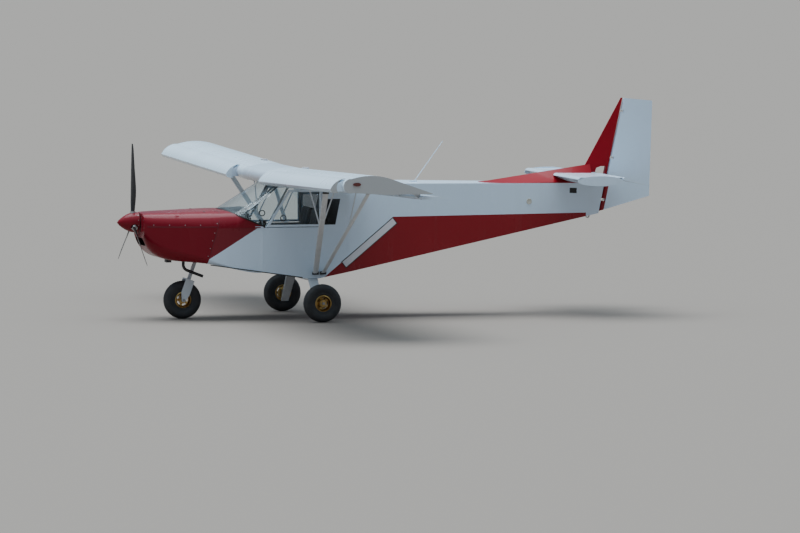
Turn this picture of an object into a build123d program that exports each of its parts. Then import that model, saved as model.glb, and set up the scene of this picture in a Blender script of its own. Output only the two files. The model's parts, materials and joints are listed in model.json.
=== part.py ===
from build123d import *
import math
import os

os.makedirs("parts", exist_ok=True)

# A two-seat, high-wing, all-metal ultralight aircraft on a nose-wheel gear.
# Row frame: nose towards -X, starboard towards +Y, +Z up, standing on Z = 0.
# Stations are lengths in millimetres measured aft from the main wheels' axle.

# Overall lengths
spinner_tip = -2221.0
rudder_tail = 4275.0
axle_x = -(spinner_tip + rudder_tail) / 2
wing_half_span = 4500.0

# Fuselage
cabin_half_w = 550.0
tail_half_w = 120.0
skin_t = 10.0
tail_skin_t = 6.0
wing_skin_t = 5.0
surface_skin_t = 3.5
cowl_t = 8.0
sill_z = 1082.0
belly_z = 482.0
belly_flat_front = -75.0
belly_flat_rear = 75.0
belly_nose_slope = 0.147
cabin_rear = 440.0
cabin_roof_z = 1569.0
tail_top_front_z = 1585.0
tail_top_rear_z = 1535.0
door_rear = 112.0

# Cowl, firewall and engine
cowl_front = -1960.0
cowl_split_z = 1100.0
rake_line_x = -1236.0
rake_line_z = 731.0
rake_slope = 0.283
firewall_setback = 70.0
firewall_t = 6.0
prop_z = 1137.0

# Propeller
prop_r = 920.0
prop_plane = -2033.0
spinner_base = -1972.0
spinner_r = 121.0
spinner_t = 3.0
spinner_hole_r = 40.0
hub_r = 62.0
prop_shaft_r = 30.0
running_gap = 0.05
seat_gap = 0.3

# Wheels
wheelbase = 1443.0
track_half = 1015.0
tyre_r = 222.5
tyre_w = 150.0
rim_r = 96.0
rim_w = 132.0
axle_r = 16.0

# Main gear leaf
leaf_t = 22.0
leaf_top_w = 115.0
leaf_end_w = 80.0
leaf_bend_y = 545.0
leaf_end_y = 872.0
leaf_end_z = 130.0

# Nose leg
leg_angle = 20.0
leg_r = 22.0
leg_lead = 7.0
leg_top = 690.0
fork_w = 105.0
fork_end_w = 46.0
fork_t = 9.0
fork_gap = 14.0

# Wing
wing_root_y = 550.0
wing_chord = 1023.0
wing_nose = -590.0
wing_crest_root_z = 1785.0
wing_rise = 0.0227
te_t = 6.0
tip_light_t = 12.0
slat_in_y = 850.0
slat_out_y = 4400.0
flap_in_y = 605.0
flap_out_y = 4330.0
flap_chord = 336.0
flap_nose_r = 18.0

# Tail
hinge_foot_x = 3640.0
hinge_foot_z = 1189.0
hinge_sweep = 12.4
fin_top_z = 2538.0
rudder_nose_r = 29.0
stab_half_span = 1206.0
stab_top_z = 1657.0
stab_le = 3035.0
stab_te = 3575.0
elevator_chord = 330.0
elevator_droop = 15.0

# Hinges
pin_r = 4.0
ear_t = 6.0
ear_r = 10.0
notch_half = 14.0
rib_half = notch_half + 6.0
surface_gap = 6.0


def at(station):
    """Row X of a station aft of the main axle."""
    return station + axle_x


def belly(station):
    """Height of the lower edge of the fuselage at a station."""
    if station <= belly_flat_front:
        return belly_z + (belly_flat_front - station) * belly_nose_slope
    if station <= belly_flat_rear:
        return belly_z
    slope = (hinge_foot_z - belly_z) / (hinge_foot_x - belly_flat_rear)
    return belly_z + (station - belly_flat_rear) * slope


def rake_x(z, setback=0.0):
    """Station of the raked cowl and firewall line at height z."""
    return rake_line_x + (z - rake_line_z) * rake_slope + setback


def hinge_x(z):
    """Station of the swept rudder hinge line at height z."""
    return hinge_foot_x + (z - hinge_foot_z) * math.tan(math.radians(hinge_sweep))


def side_prism(points, half_y):
    """A side-view outline, given as (station, z), drawn out both ways in Y."""
    with BuildPart() as prism:
        with BuildSketch(Plane.XZ):
            with BuildLine():
                Polyline([(at(s), z) for s, z in points], close=True)
            make_face()
        extrude(amount=half_y, both=True)
    return prism.part


def plan_prism(points, z_low, z_high):
    """A plan outline, given as (station, y), drawn out from z_low to z_high."""
    with BuildPart() as prism:
        with BuildSketch(Plane.XY.offset(z_low)):
            with BuildLine():
                Polyline([(at(s), y) for s, y in points], close=True)
            make_face()
        extrude(amount=z_high - z_low)
    return prism.part


def rod_between(start, end, radius):
    """A round bar between two points given as (station, y, z)."""
    a = Vector(at(start[0]), start[1], start[2])
    b = Vector(at(end[0]), end[1], end[2])
    with BuildPart() as bar:
        with BuildSketch(Plane(origin=a, z_dir=b - a)):
            Circle(radius)
        extrude(amount=(b - a).length)
    return bar.part


def block(station_0, station_1, y_0, y_1, z_0, z_1):
    """A plain block between two corners."""
    with BuildPart() as solid:
        with Locations((at((station_0 + station_1) / 2), (y_0 + y_1) / 2, (z_0 + z_1) / 2)):
            Box(station_1 - station_0, y_1 - y_0, z_1 - z_0)
    return solid.part


def save(piece, node):
    piece.part.label = node
    export_step(piece.part, "parts/" + node + ".step")


# Cowl and forward fuselage: one smooth body cut into its real panels
# columns: station, half width, lower z, upper side z, crown, upper radius, lower radius
forward_sections = [
    (cowl_front, 300.0, 958.0, 1240.0, 8.0, 110.0, 110.0),
    (-1870.0, 358.0, 803.0, 1247.0, 9.0, 140.0, 150.0),
    (-1640.0, 440.0, 703.0, 1254.0, 9.0, 160.0, 140.0),
    (-1300.0, 525.0, 674.0, 1263.0, 11.0, 185.0, 70.0),
    (-1000.0, cabin_half_w, belly(-1000.0), 1268.0, 14.0, 190.0, 20.0),
    (-600.0, cabin_half_w, belly(-600.0), 1268.0, 14.0, 190.0, 12.0),
]
deck_rear = -700.0
forward_rear = forward_sections[-1][0]


def forward_section(row, inset):
    station, half_w, low_z, high_z, crown, upper_r, lower_r = row
    w = half_w - inset
    low = low_z + inset
    high = high_z - inset
    front_inset = inset if station == cowl_front else 0.0
    with BuildSketch(Plane.YZ.offset(at(station + front_inset))) as section:
        with BuildLine():
            Line((-w, low), (w, low))
            Line((w, low), (w, high))
            ThreePointArc((w, high), (0, high + crown), (-w, high))
            Line((-w, high), (-w, low))
        make_face()
        fillet(section.vertices().group_by(Axis.Y)[-1], upper_r - inset)
        fillet(section.vertices().group_by(Axis.Y)[0], max(lower_r - inset, 2.0))
    return section.sketch


def forward_body(inset):
    with BuildPart() as body:
        loft([forward_section(row, inset) for row in forward_sections])
    return body.part


forward_outer = forward_body(0.0)
forward_inner_cowl = forward_body(cowl_t)
forward_inner = forward_body(skin_t)
far = 3000.0
ahead_of_rake = side_prism(
    [(rake_x(0.0), 0.0), (rake_x(2000.0), 2000.0), (-far, 2000.0), (-far, 0.0)], 1000.0
)

# Cowl: its air inlet is a wide mouth in the sloping chin, with one round shaft hole above it
inlet_half_w = 215.0
inlet_z0 = 868.0
inlet_z1 = 962.0
shaft_hole_r = 48.0
blister_front = -1657.0
blister_rear = -1251.0
leg_hole_r = leg_r + 12.0


def leg_point(up, across=0.0):
    """Station and z on the nose leg's line, up from the axle along the leg."""
    a = math.radians(leg_angle)
    across = across - leg_lead
    station = -wheelbase + up * math.sin(a) + across * math.cos(a)
    return station, tyre_r + up * math.cos(a) - across * math.sin(a)


leg_dir = Vector(math.sin(math.radians(leg_angle)), 0, math.cos(math.radians(leg_angle)))
leg_foot = Vector(at(leg_point(0.0)[0]), 0, leg_point(0.0)[1])
leg_plane = Plane(origin=leg_foot, x_dir=(0, 1, 0), z_dir=leg_dir)

exhaust_r = 17.5
exhaust_wall = 1.5
exhaust_bore = 90.0
exhaust_y = -100.0
engine_low = 880.0
exhaust_path = [(-1451.0, engine_low), (-1451.0, 590.0), (-1217.0, 499.0)]

blister_y = 372.0
blister_z = 1200.0
blister_len = blister_rear - blister_front


def blister(side):
    """A teardrop with its blunt end forward and a cut-off tail, laid along the cowl's shoulder."""
    foot = (at(blister_front), side * blister_y, blister_z)
    with BuildPart() as drop:
        with BuildSketch(Plane(origin=foot, x_dir=(1, 0, 0))):
            with BuildLine():
                ThreePointArc((0, 0), (34.0, 27.0), (110.0, 34.0))
                Line((110.0, 34.0), (blister_len, 14.0))
                Line((blister_len, 14.0), (blister_len, 0))
                Line((blister_len, 0), (0, 0))
            make_face()
        revolve(axis=Axis(foot, (1, 0, 0)))
    return drop.part


with BuildPart() as cowl_upper:
    add(forward_outer)
    for side in (-1, 1):
        add(blister(side))
    add(forward_inner_cowl, mode=Mode.SUBTRACT)
    add(ahead_of_rake, mode=Mode.INTERSECT)
    add(block(-far, 0.0, -1000.0, 1000.0, cowl_split_z, 2000.0), mode=Mode.INTERSECT)
    with BuildSketch(Plane.YZ.offset(at(cowl_front - 20.0))):
        with Locations((0, prop_z)):
            Circle(shaft_hole_r)
    extrude(amount=60.0, mode=Mode.SUBTRACT)

with BuildPart() as cowl_lower:
    add(forward_outer)
    add(forward_inner_cowl, mode=Mode.SUBTRACT)
    add(ahead_of_rake, mode=Mode.INTERSECT)
    add(block(-far, 0.0, -1000.0, 1000.0, 0.0, cowl_split_z), mode=Mode.INTERSECT)
    with BuildSketch(Plane.YZ.offset(at(cowl_front - 20.0))):
        with Locations((0, prop_z)):
            Circle(shaft_hole_r)
        with Locations((0, (inlet_z0 + inlet_z1) / 2)):
            RectangleRounded(2 * inlet_half_w, inlet_z1 - inlet_z0, 40.0)
    extrude(amount=110.0, mode=Mode.SUBTRACT)
    with BuildSketch(leg_plane):
        Circle(leg_hole_r)
    extrude(amount=560.0, mode=Mode.SUBTRACT)
    with BuildSketch(Plane.XY.offset(600.0)):
        with Locations((at(exhaust_path[0][0]), exhaust_y)):
            Circle(exhaust_r + 3.0)
    extrude(amount=200.0, mode=Mode.SUBTRACT)

with BuildPart() as cowl_outlet:
    with BuildSketch(Plane.XY.offset(664.0)):
        with Locations((at(-1612.0), 0.0)):
            RectangleRounded(64.0, 120.0, 16.0)
    extrude(amount=60.0)
    add(forward_outer, mode=Mode.SUBTRACT)

# Firewall plate, parallel to the cowl's raked edge, inside the forward skin
with BuildPart() as firewall:
    add(forward_inner)
    add(
        side_prism(
            [
                (rake_x(500.0, firewall_setback), 500.0),
                (rake_x(1500.0, firewall_setback), 1500.0),
                (rake_x(1500.0, firewall_setback + firewall_t), 1500.0),
                (rake_x(500.0, firewall_setback + firewall_t), 500.0),
            ],
            1000.0,
        ),
        mode=Mode.INTERSECT,
    )

# Engine: one plain block on its mount plate, with the propeller shaft out in front
engine_front = -1850.0
engine_rear = -1290.0
engine_half_w = 190.0
engine_high = 1215.0
shaft_end = prop_plane - 1.0
with BuildPart() as engine_block:
    add(block(engine_front, engine_rear, -engine_half_w, engine_half_w, engine_low, engine_high))
    chamfer(engine_block.edges().filter_by(Axis.X), 40.0)
    with BuildSketch(Plane.YZ.offset(at(engine_front))):
        with Locations((0, prop_z)):
            Circle(prop_shaft_r)
    extrude(amount=-(engine_front - shaft_end))
    mount_reach = rake_x(900.0, firewall_setback) - engine_rear + 30.0
    with BuildSketch(Plane.YZ.offset(at(engine_rear))):
        with Locations([(y, z) for y in (-150.0, 150.0) for z in (930.0, 1160.0)]):
            Circle(14.0)
    extrude(amount=mount_reach + 60.0)
    add(
        side_prism(
            [
                (rake_x(0.0, firewall_setback), 0.0),
                (rake_x(2000.0, firewall_setback), 2000.0),
                (far, 2000.0),
                (far, 0.0),
            ],
            1000.0,
        ),
        mode=Mode.SUBTRACT,
    )

# Cabin: tub with floor and side walls up to the sill, deck above its front end
behind_rake = side_prism(
    [(rake_x(0.0), 0.0), (rake_x(2000.0), 2000.0), (far, 2000.0), (far, 0.0)], 1000.0
)


def tub_outline(inset, top):
    return [
        (forward_rear, belly(forward_rear) + inset),
        (belly_flat_front, belly_z + inset),
        (belly_flat_rear, belly_z + inset),
        (cabin_rear, belly(cabin_rear) + inset),
        (cabin_rear, top),
        (forward_rear, top),
    ]


with BuildPart() as cabin_tub:
    add(forward_outer)
    add(forward_inner, mode=Mode.SUBTRACT)
    add(behind_rake, mode=Mode.INTERSECT)
    add(side_prism(tub_outline(0.0, sill_z), cabin_half_w))
    add(
        side_prism(tub_outline(skin_t, sill_z + 1.0), cabin_half_w - skin_t),
        mode=Mode.SUBTRACT,
    )
    add(block(-far, far, -1000.0, 1000.0, 0.0, sill_z), mode=Mode.INTERSECT)

with BuildPart() as forward_deck:
    add(forward_outer)
    add(forward_inner, mode=Mode.SUBTRACT)
    add(behind_rake, mode=Mode.INTERSECT)
    add(block(-far, deck_rear, -1000.0, 1000.0, sill_z, 2000.0), mode=Mode.INTERSECT)

panel_front = -752.0
panel_t = 22.0
with BuildPart() as instrument_panel:
    add(forward_inner)
    add(block(panel_front, panel_front + panel_t, -1000.0, 1000.0, 985.0, 2000.0), mode=Mode.INTERSECT)

# Windshield: a wrapped sheet whose plan outline is half an ellipse that runs into flat sides
screen_foot = (-1389.0, 1050.0, 430.0)
screen_head = (-448.0, 1620.0, 250.0)
screen_t = 6.0
post_foot = (-571.0, 1094.0)
post_head = (-252.0, 1600.0)


def screen_section(row, inset):
    front, z, depth = row
    w = cabin_half_w - inset
    with BuildSketch(Plane.XY.offset(z)) as section:
        with BuildLine():
            EllipticalCenterArc(
                (at(front + depth), 0), depth - inset, w, start_angle=90, arc_size=180
            )
            Line((at(front + depth), -w), (at(100.0), -w))
            Line((at(100.0), -w), (at(100.0), w))
            Line((at(100.0), w), (at(front + depth), w))
        make_face()
    return section.sketch


def screen_body(inset):
    with BuildPart() as body:
        loft([screen_section(screen_foot, inset), screen_section(screen_head, inset)], ruled=True)
    return body.part


# Wing section: flat-bottomed, 20 per cent thick, blunt nose, straight run to the trailing edge
# heights below the crest
nose_drop = 110.0
lower_front_drop = 190.0
lower_mid_drop = 214.0
te_drop = 212.0
high_rear_drop = 36.0
hollow_pull = 12.0


def wing_profile(crest_z, inset=0.0):
    """Wing outline in a side-view sketch for a crest at crest_z; inset for its hollow."""
    nose = at(wing_nose)
    low_front = (nose + 110.0, crest_z - lower_front_drop + inset)
    low_mid = (nose + 458.0, crest_z - lower_mid_drop + inset)
    high_front = (nose + 95.0, crest_z - 32.0 - inset)
    high_rear = (nose + 540.0, crest_z - high_rear_drop - inset)
    run = wing_chord - 540.0
    share = (run - hollow_pull * inset) / run
    te_high = crest_z - high_rear_drop - (te_drop - te_t - high_rear_drop) * share - inset
    te_x = high_rear[0] + run * share
    te_low = crest_z - te_drop + inset
    with BuildSketch(Plane.XZ) as section:
        with BuildLine():
            ThreePointArc(low_front, (nose + inset, crest_z - nose_drop), high_front)
            ThreePointArc(high_front, (nose + 286.0, crest_z - inset), high_rear)
            Line(high_rear, (te_x, te_high))
            Line((te_x, te_high), (te_x, te_low))
            Line((te_x, te_low), low_mid)
            Line(low_mid, low_front)
        make_face()
    return section.sketch


def spanwise(profile, y_in, y_out):
    """Draw a side-view profile, placed at the wing root, out to port along the rising wing."""
    with BuildPart() as run:
        extrude(
            profile.moved(Location((0, -y_in, (y_in - wing_root_y) * wing_rise))),
            amount=(y_out - y_in) * math.hypot(1.0, wing_rise),
            dir=(0, -1, wing_rise),
        )
    return run.part


with BuildPart() as wing_center:
    extrude(wing_profile(wing_crest_root_z), amount=wing_root_y, both=True)

with BuildPart() as windshield:
    add(screen_body(0.0))
    add(screen_body(screen_t), mode=Mode.SUBTRACT)
    add(
        side_prism(
            [
                (-1500.0, sill_z),
                (post_foot[0] - 8.0, sill_z),
                (post_head[0], post_head[1]),
                (-1500.0, post_head[1]),
            ],
            1000.0,
        ),
        mode=Mode.INTERSECT,
    )
    add(forward_outer, mode=Mode.SUBTRACT)
    add(wing_center.part, mode=Mode.SUBTRACT)

# Upper side walls behind the doors, with a window in each
with BuildPart() as rear_cabin_skin:
    for side in (-1, 1):
        outer = side * cabin_half_w
        inner = side * (cabin_half_w - skin_t)
        add(
            block(
                door_rear,
                cabin_rear,
                min(outer, inner),
                max(outer, inner),
                sill_z,
                cabin_roof_z + 20.0,
            )
        )
    add(wing_center.part, mode=Mode.SUBTRACT)
    window_outline = [(140.0, 1110.0), (270.0, 1110.0), (330.0, 1410.0), (140.0, 1410.0)]
    add(side_prism(window_outline, 1000.0), mode=Mode.SUBTRACT)

with BuildPart() as rear_windows:
    add(side_prism(window_outline, cabin_half_w - 3.0))
    add(side_prism(window_outline, cabin_half_w - 6.0), mode=Mode.SUBTRACT)

with BuildPart() as bulkheads:
    add(firewall.part)
    add(
        side_prism(
            [
                (cabin_rear - 8.0, belly(cabin_rear - 8.0) + skin_t),
                (cabin_rear, belly(cabin_rear) + skin_t),
                (cabin_rear, cabin_roof_z - 2.0),
                (cabin_rear - 8.0, cabin_roof_z - 2.0),
            ],
            cabin_half_w - skin_t,
        )
    )

# Cabin frame of round tubes just inside the doors
frame_y = 518.0
frame_r = 12.5
frame_top = 1556.0
rear_post = 96.0
with BuildPart() as cabin_frame:
    for side in (-1, 1):
        y = side * frame_y
        front_head = (-290.0, y, frame_top)
        add(rod_between((-556.0, y, sill_z - 8.0), front_head, frame_r))
        add(rod_between(front_head, (cabin_rear - 20.0, y, frame_top), frame_r))
        add(rod_between((rear_post, y, belly(rear_post) + skin_t), (rear_post, y, frame_top), frame_r))
        add(rod_between((-560.0, y, sill_z - 12.0), (cabin_rear - 8.0, y, sill_z - 12.0), frame_r))
    for station in (-290.0, rear_post, cabin_rear - 22.0):
        add(rod_between((station, -frame_y, frame_top), (station, frame_y, frame_top), frame_r))
    add(cabin_tub.part, mode=Mode.SUBTRACT)
    for side in (-1, 1):
        add(rod_between((-690.0, side * 120.0, 1245.0), (-290.0, side * 60.0, frame_top), frame_r * 0.8))

# Seats: a sheet-metal seat pan with two soft cushions and two soft backs
pan_front = -420.0
pan_rear = 60.0
pan_z = 760.0
with BuildPart() as seat_pan:
    add(
        side_prism(
            [
                (pan_front, belly(pan_front) + skin_t),
                (pan_front + 12.0, belly(pan_front + 12.0) + skin_t),
                (pan_front + 12.0, pan_z - 12.0),
                (pan_rear, pan_z - 42.0),
                (pan_rear + 150.0, 1180.0),
                (pan_rear + 138.0, 1184.0),
                (pan_rear - 8.0, pan_z - 30.0),
                (pan_front, pan_z),
            ],
            frame_y - frame_r - 8.0,
        )
    )



def pan_face(z):
    """Station of the seat pan's front face behind the backrests, less the seat gap."""
    slope = (138.0 + 8.0) / (1184.0 - pan_z + 30.0)
    return pan_rear - 8.0 + (z - pan_z + 30.0) * slope - seat_gap * math.hypot(1.0, slope)


back_low_z = pan_z + 60.0
back_mid_z = 1180.0
back_top_z = 1290.0
cushion_half_w = 225.0
cushion_y = 255.0
with BuildPart() as seat_cushions:
    for side in (-1, 1):
        with BuildSketch(Plane.XZ.offset(-side * cushion_y)):
            with BuildLine():
                Polyline(
                    [
                        (at(pan_front + 6.0), pan_z + seat_gap),
                        (at(pan_rear - 14.0), pan_z - 28.0 + seat_gap),
                        (at(pan_rear + 12.0), pan_z + 48.0),
                        (at(pan_front + 6.0), pan_z + 78.0),
                    ],
                    close=True,
                )
            make_face()
        extrude(amount=cushion_half_w, both=True)
    fillet(seat_cushions.edges().filter_by(Axis.Y), 14.0)

with BuildPart() as seat_backrests:
    for side in (-1, 1):
        with BuildSketch(Plane.XZ.offset(-side * cushion_y)):
            with BuildLine():
                Polyline(
                    [
                        (at(pan_face(back_low_z)), back_low_z),
                        (at(pan_rear - 46.0), back_low_z + 16.0),
                        (at(pan_rear + 56.0), back_top_z),
                        (at(pan_rear + 118.0), back_top_z),
                        (at(pan_face(back_mid_z)), back_mid_z),
                    ],
                    close=True,
                )
            make_face()
        extrude(amount=cushion_half_w, both=True)

with BuildPart() as seats:
    add(seat_cushions.part)
    add(seat_backrests.part)

with BuildPart() as control_stick:
    foot_z = belly(-470.0) + skin_t
    add(rod_between((-470.0, 0.0, foot_z), (-500.0, 0.0, 960.0), 11.0))
    for side in (-1, 1):
        add(rod_between((-500.0, 0.0, 955.0), (-480.0, side * 110.0, 1030.0), 9.0))
        add(rod_between((-480.0, side * 110.0, 1026.0), (-480.0, side * 110.0, 1140.0), 14.0))
    add(cabin_tub.part, mode=Mode.SUBTRACT)

# Rear fuselage: a flat-sided tapering box, open towards the cabin


def tail_cone(inset):
    front = cabin_rear
    top_x = hinge_x(tail_top_rear_z) - 62.0 - inset
    low_x = hinge_foot_x - 62.0 - inset
    with BuildPart() as cone:
        add(
            side_prism(
                [
                    (front, belly(front) + inset),
                    (low_x, belly(low_x) + inset),
                    (top_x, tail_top_rear_z - inset),
                    (front, tail_top_front_z - inset),
                ],
                cabin_half_w,
            )
        )
        add(
            plan_prism(
                [
                    (front, -cabin_half_w + inset),
                    (hinge_foot_x, -tail_half_w + inset),
                    (hinge_foot_x + 200.0, -tail_half_w + inset),
                    (hinge_foot_x + 200.0, tail_half_w - inset),
                    (hinge_foot_x, tail_half_w - inset),
                    (front, cabin_half_w - inset),
                ],
                0.0,
                3000.0,
            ),
            mode=Mode.INTERSECT,
        )
    return cone.part


with BuildPart() as rear_fuselage:
    add(tail_cone(0.0))
    add(tail_cone(tail_skin_t), mode=Mode.SUBTRACT)

# Tail surfaces
stab_thick = 104.0
stab_mid = stab_le + 0.42 * (stab_te - stab_le)


def stab_profile(inset):
    with BuildSketch(Plane.XZ) as section:
        with BuildLine():
            nose = (at(stab_le + inset), stab_top_z - 24.0)
            heel = (at(stab_te - inset), stab_top_z - 6.0 - inset)
            ThreePointArc(nose, (at(stab_le + 18.0 + inset), stab_top_z - 6.0 - inset),
                          (at(stab_le + 60.0 + inset), stab_top_z - inset))
            Line((at(stab_le + 60.0 + inset), stab_top_z - inset), heel)
            Line(heel, (at(stab_te - inset), stab_top_z - 52.0 + inset))
            ThreePointArc(
                (at(stab_te - inset), stab_top_z - 52.0 + inset),
                (at(stab_mid), stab_top_z - stab_thick + inset),
                nose,
            )
        make_face()
    return section.sketch


stab_skin_t = 7.0
stab_tip_t = 8.0
with BuildPart() as stabilizer:
    extrude(stab_profile(0.0), amount=stab_half_span - stab_tip_t, both=True)
    extrude(
        stab_profile(stab_skin_t),
        amount=stab_half_span - stab_tip_t,
        both=True,
        mode=Mode.SUBTRACT,
    )
    for side in (-1, 1):
        with BuildSketch(Plane.XZ.offset(-side * (stab_half_span - stab_tip_t))):
            with Locations((at((stab_le + stab_te) / 2), stab_top_z - 46.0)):
                Ellipse((stab_te - stab_le) / 2 + 6.0, 58.0)
        extrude(amount=-side * stab_tip_t)
    add(tail_cone(0.0), mode=Mode.SUBTRACT)

# Fin with its root post, seen as a narrow strip below the stabilizer
post_gap = rudder_nose_r + surface_gap
fin_le_foot = (3447.0, 1747.0)
fin_le_top = 3886.0
fin_root_half = 34.0
fin_top_half = 24.0
fin_slope = (fin_le_top - fin_le_foot[0]) / (fin_top_z - fin_le_foot[1])


def fin_section(z, half_t):
    le = fin_le_foot[0] + (z - fin_le_foot[1]) * fin_slope
    te = hinge_x(z) - post_gap
    with BuildSketch(Plane.XY.offset(z)) as section:
        with BuildLine():
            ThreePointArc((at(le + 14.0), 8.0), (at(le), 0.0), (at(le + 14.0), -8.0))
            Line((at(le + 14.0), -8.0), (at(te), -half_t))
            Line((at(te), -half_t), (at(te), half_t))
            Line((at(te), half_t), (at(le + 14.0), 8.0))
        make_face()
    return section.sketch


notch_high = 1728.0
with BuildPart() as fin_blank:
    loft([fin_section(stab_top_z, fin_root_half), fin_section(fin_top_z, fin_top_half)], ruled=True)
    add(
        side_prism(
            [
                (hinge_x(hinge_foot_z) - post_gap - 26.0, hinge_foot_z),
                (hinge_x(hinge_foot_z) - post_gap, hinge_foot_z),
                (hinge_x(1760.0) - post_gap, 1760.0),
                (hinge_x(1760.0) - post_gap - 26.0, 1760.0),
            ],
            fin_root_half,
        )
    )

# Dorsal fairing: a tent as wide as the fuselage top that rises into the fin
dorsal_front = 2136.0


def tail_width(station):
    share = (station - cabin_rear) / (hinge_foot_x - cabin_rear)
    return cabin_half_w + (tail_half_w - cabin_half_w) * share


def tent_section(station, top_z, inset):
    base = tail_width(station) - inset
    eave = tent_eave_z - inset
    with BuildSketch(Plane.YZ.offset(at(station))) as section:
        with BuildLine():
            Polyline(
                [
                    (-base, tent_low_z),
                    (base, tent_low_z),
                    (base, eave),
                    (ridge_half, top_z - inset),
                    (-ridge_half, top_z - inset),
                    (-base, eave),
                ],
                close=True,
            )
        make_face()
    return section.sketch


tent_low_z = 1500.0
tent_eave_z = 1552.0
ridge_half = 14.0
dorsal_front_z = 1557.0
dorsal_slope = (fin_le_foot[1] - dorsal_front_z) / (fin_le_foot[0] - dorsal_front)
dorsal_rear = fin_le_foot[0] + 60.0
dorsal_rear_z = fin_le_foot[1] + 60.0 * dorsal_slope
with BuildPart() as dorsal_fairing:
    for inset, mode in ((0.0, Mode.ADD), (surface_skin_t, Mode.SUBTRACT)):
        loft(
            [
                tent_section(dorsal_front, dorsal_front_z, inset),
                tent_section(dorsal_rear, dorsal_rear_z, inset),
            ],
            ruled=True,
            mode=mode,
        )
    add(tail_cone(0.0), mode=Mode.SUBTRACT)
    extrude(stab_profile(0.0), amount=stab_half_span, both=True, mode=Mode.SUBTRACT)
    add(fin_blank.part, mode=Mode.SUBTRACT)


# Outer wings, drawn to port and mirrored to starboard
def mirrored(part):
    with BuildPart() as other:
        mirror(part, about=Plane.XZ)
    return other


def both_sides(part):
    """Port and starboard copies as solids of one node."""
    with BuildPart() as pair:
        add(part)
        mirror(part, about=Plane.XZ)
    return pair


def lift(y):
    """Rise of the wing at a distance y from the centre line."""
    return (y - wing_root_y) * wing_rise


with BuildPart() as wing_left:
    wing_tip_y = wing_half_span - tip_light_t
    add(spanwise(wing_profile(wing_crest_root_z), wing_root_y, wing_tip_y))
    hollow = wing_profile(wing_crest_root_z, wing_skin_t)
    add(spanwise(hollow, wing_root_y, wing_tip_y - wing_skin_t), mode=Mode.SUBTRACT)
wing_right = mirrored(wing_left.part)

# Fixed slats ahead of the wing nose: a hollow-backed crescent
slat_le = (wing_nose - 133.0, -172.0)
slat_upper = (wing_nose + 39.0, -26.0)
slat_lower = (wing_nose - 50.0, -186.0)


def slat_profile():
    crest = wing_crest_root_z
    with BuildSketch(Plane.XZ) as section:
        with BuildLine():
            upper = (at(slat_upper[0]), crest + slat_upper[1])
            lower = (at(slat_lower[0]), crest + slat_lower[1])
            front = (at(slat_le[0] + 34.0), crest - 96.0)
            ThreePointArc(lower, (at(slat_le[0] + 12.0), crest + slat_le[1] + 2.0),
                          (at(slat_le[0]), crest + slat_le[1] + 24.0))
            ThreePointArc((at(slat_le[0]), crest + slat_le[1] + 24.0), front, upper)
            Line(upper, (upper[0] - 2.0, upper[1] - 5.0))
            ThreePointArc((upper[0] - 2.0, upper[1] - 5.0), (at(wing_nose - 58.0), crest - 106.0),
                          (lower[0] + 2.0, lower[1] + 6.0))
            Line((lower[0] + 2.0, lower[1] + 6.0), lower)
        make_face()
    return section.sketch


with BuildPart() as slat_left:
    add(spanwise(slat_profile(), slat_in_y, slat_out_y))
slat_right = mirrored(slat_left.part)

slat_rib_t = 5.0
slat_rib_count = 5
slat_rib_pitch = (slat_out_y - slat_in_y - 2 * slat_rib_t) / (slat_rib_count - 1)


def slat_rib_profile():
    with BuildSketch(Plane.XZ) as section:
        with BuildLine():
            Polyline(
                [
                    (at(wing_nose - 74.0), wing_crest_root_z - 176.0),
                    (at(wing_nose - 70.0), wing_crest_root_z - 90.0),
                    (at(wing_nose + 24.0), wing_crest_root_z - 46.0),
                    (at(wing_nose + 70.0), wing_crest_root_z - 60.0),
                    (at(wing_nose + 40.0), wing_crest_root_z - 170.0),
                ],
                close=True,
            )
        make_face()
    return section.sketch


with BuildPart() as port_slat_ribs:
    for i in range(slat_rib_count):
        y_in = slat_in_y + i * slat_rib_pitch + slat_rib_t / 2
        add(spanwise(slat_rib_profile(), y_in, y_in + slat_rib_t))
    add(wing_left.part, mode=Mode.SUBTRACT)
    add(slat_left.part, mode=Mode.SUBTRACT)
slat_brackets = both_sides(port_slat_ribs.part)


# Hinges: the ear with a hole is on the fixed side, the notch and pin on the moving one.
# A hinge plane has its X aft, its normal along the hinge line, its origin on that line.
def hinge_notch(plane, nose, depth):
    with BuildPart() as notch:
        with BuildSketch(plane.offset(-notch_half)):
            with Locations(((depth - nose - 6.0) / 2, 0)):
                Rectangle(depth + nose + 6.0, 2 * nose + 12.0)
        extrude(amount=2 * notch_half)
    return notch.part


def hinge_pin(plane):
    with BuildPart() as pin:
        with BuildSketch(plane.offset(-notch_half - 4.0)):
            Circle(pin_r)
        extrude(amount=2 * notch_half + 8.0)
    return pin.part


def hinge_ear(plane, arm):
    """Ear plate: a round eye on the hinge line with an arm outline in the plane's X and Y."""
    with BuildPart() as ear:
        with BuildSketch(plane.offset(-ear_t / 2)):
            Circle(ear_r)
            with BuildLine():
                Polyline(arm, close=True)
            make_face()
            Circle(pin_r + running_gap, mode=Mode.SUBTRACT)
        extrude(amount=ear_t)
    return ear.part


# Flaperons, hung below the trailing edge
flap_hinge = (wing_nose + 945.0, -262.0)
flap_notch_depth = 22.0
flap_hinge_count = 5
flap_end_gap = 120.0
flap_hinge_ys = [
    flap_in_y + flap_end_gap + i * (flap_out_y - flap_in_y - 2 * flap_end_gap) / (flap_hinge_count - 1)
    for i in range(flap_hinge_count)
]


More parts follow.
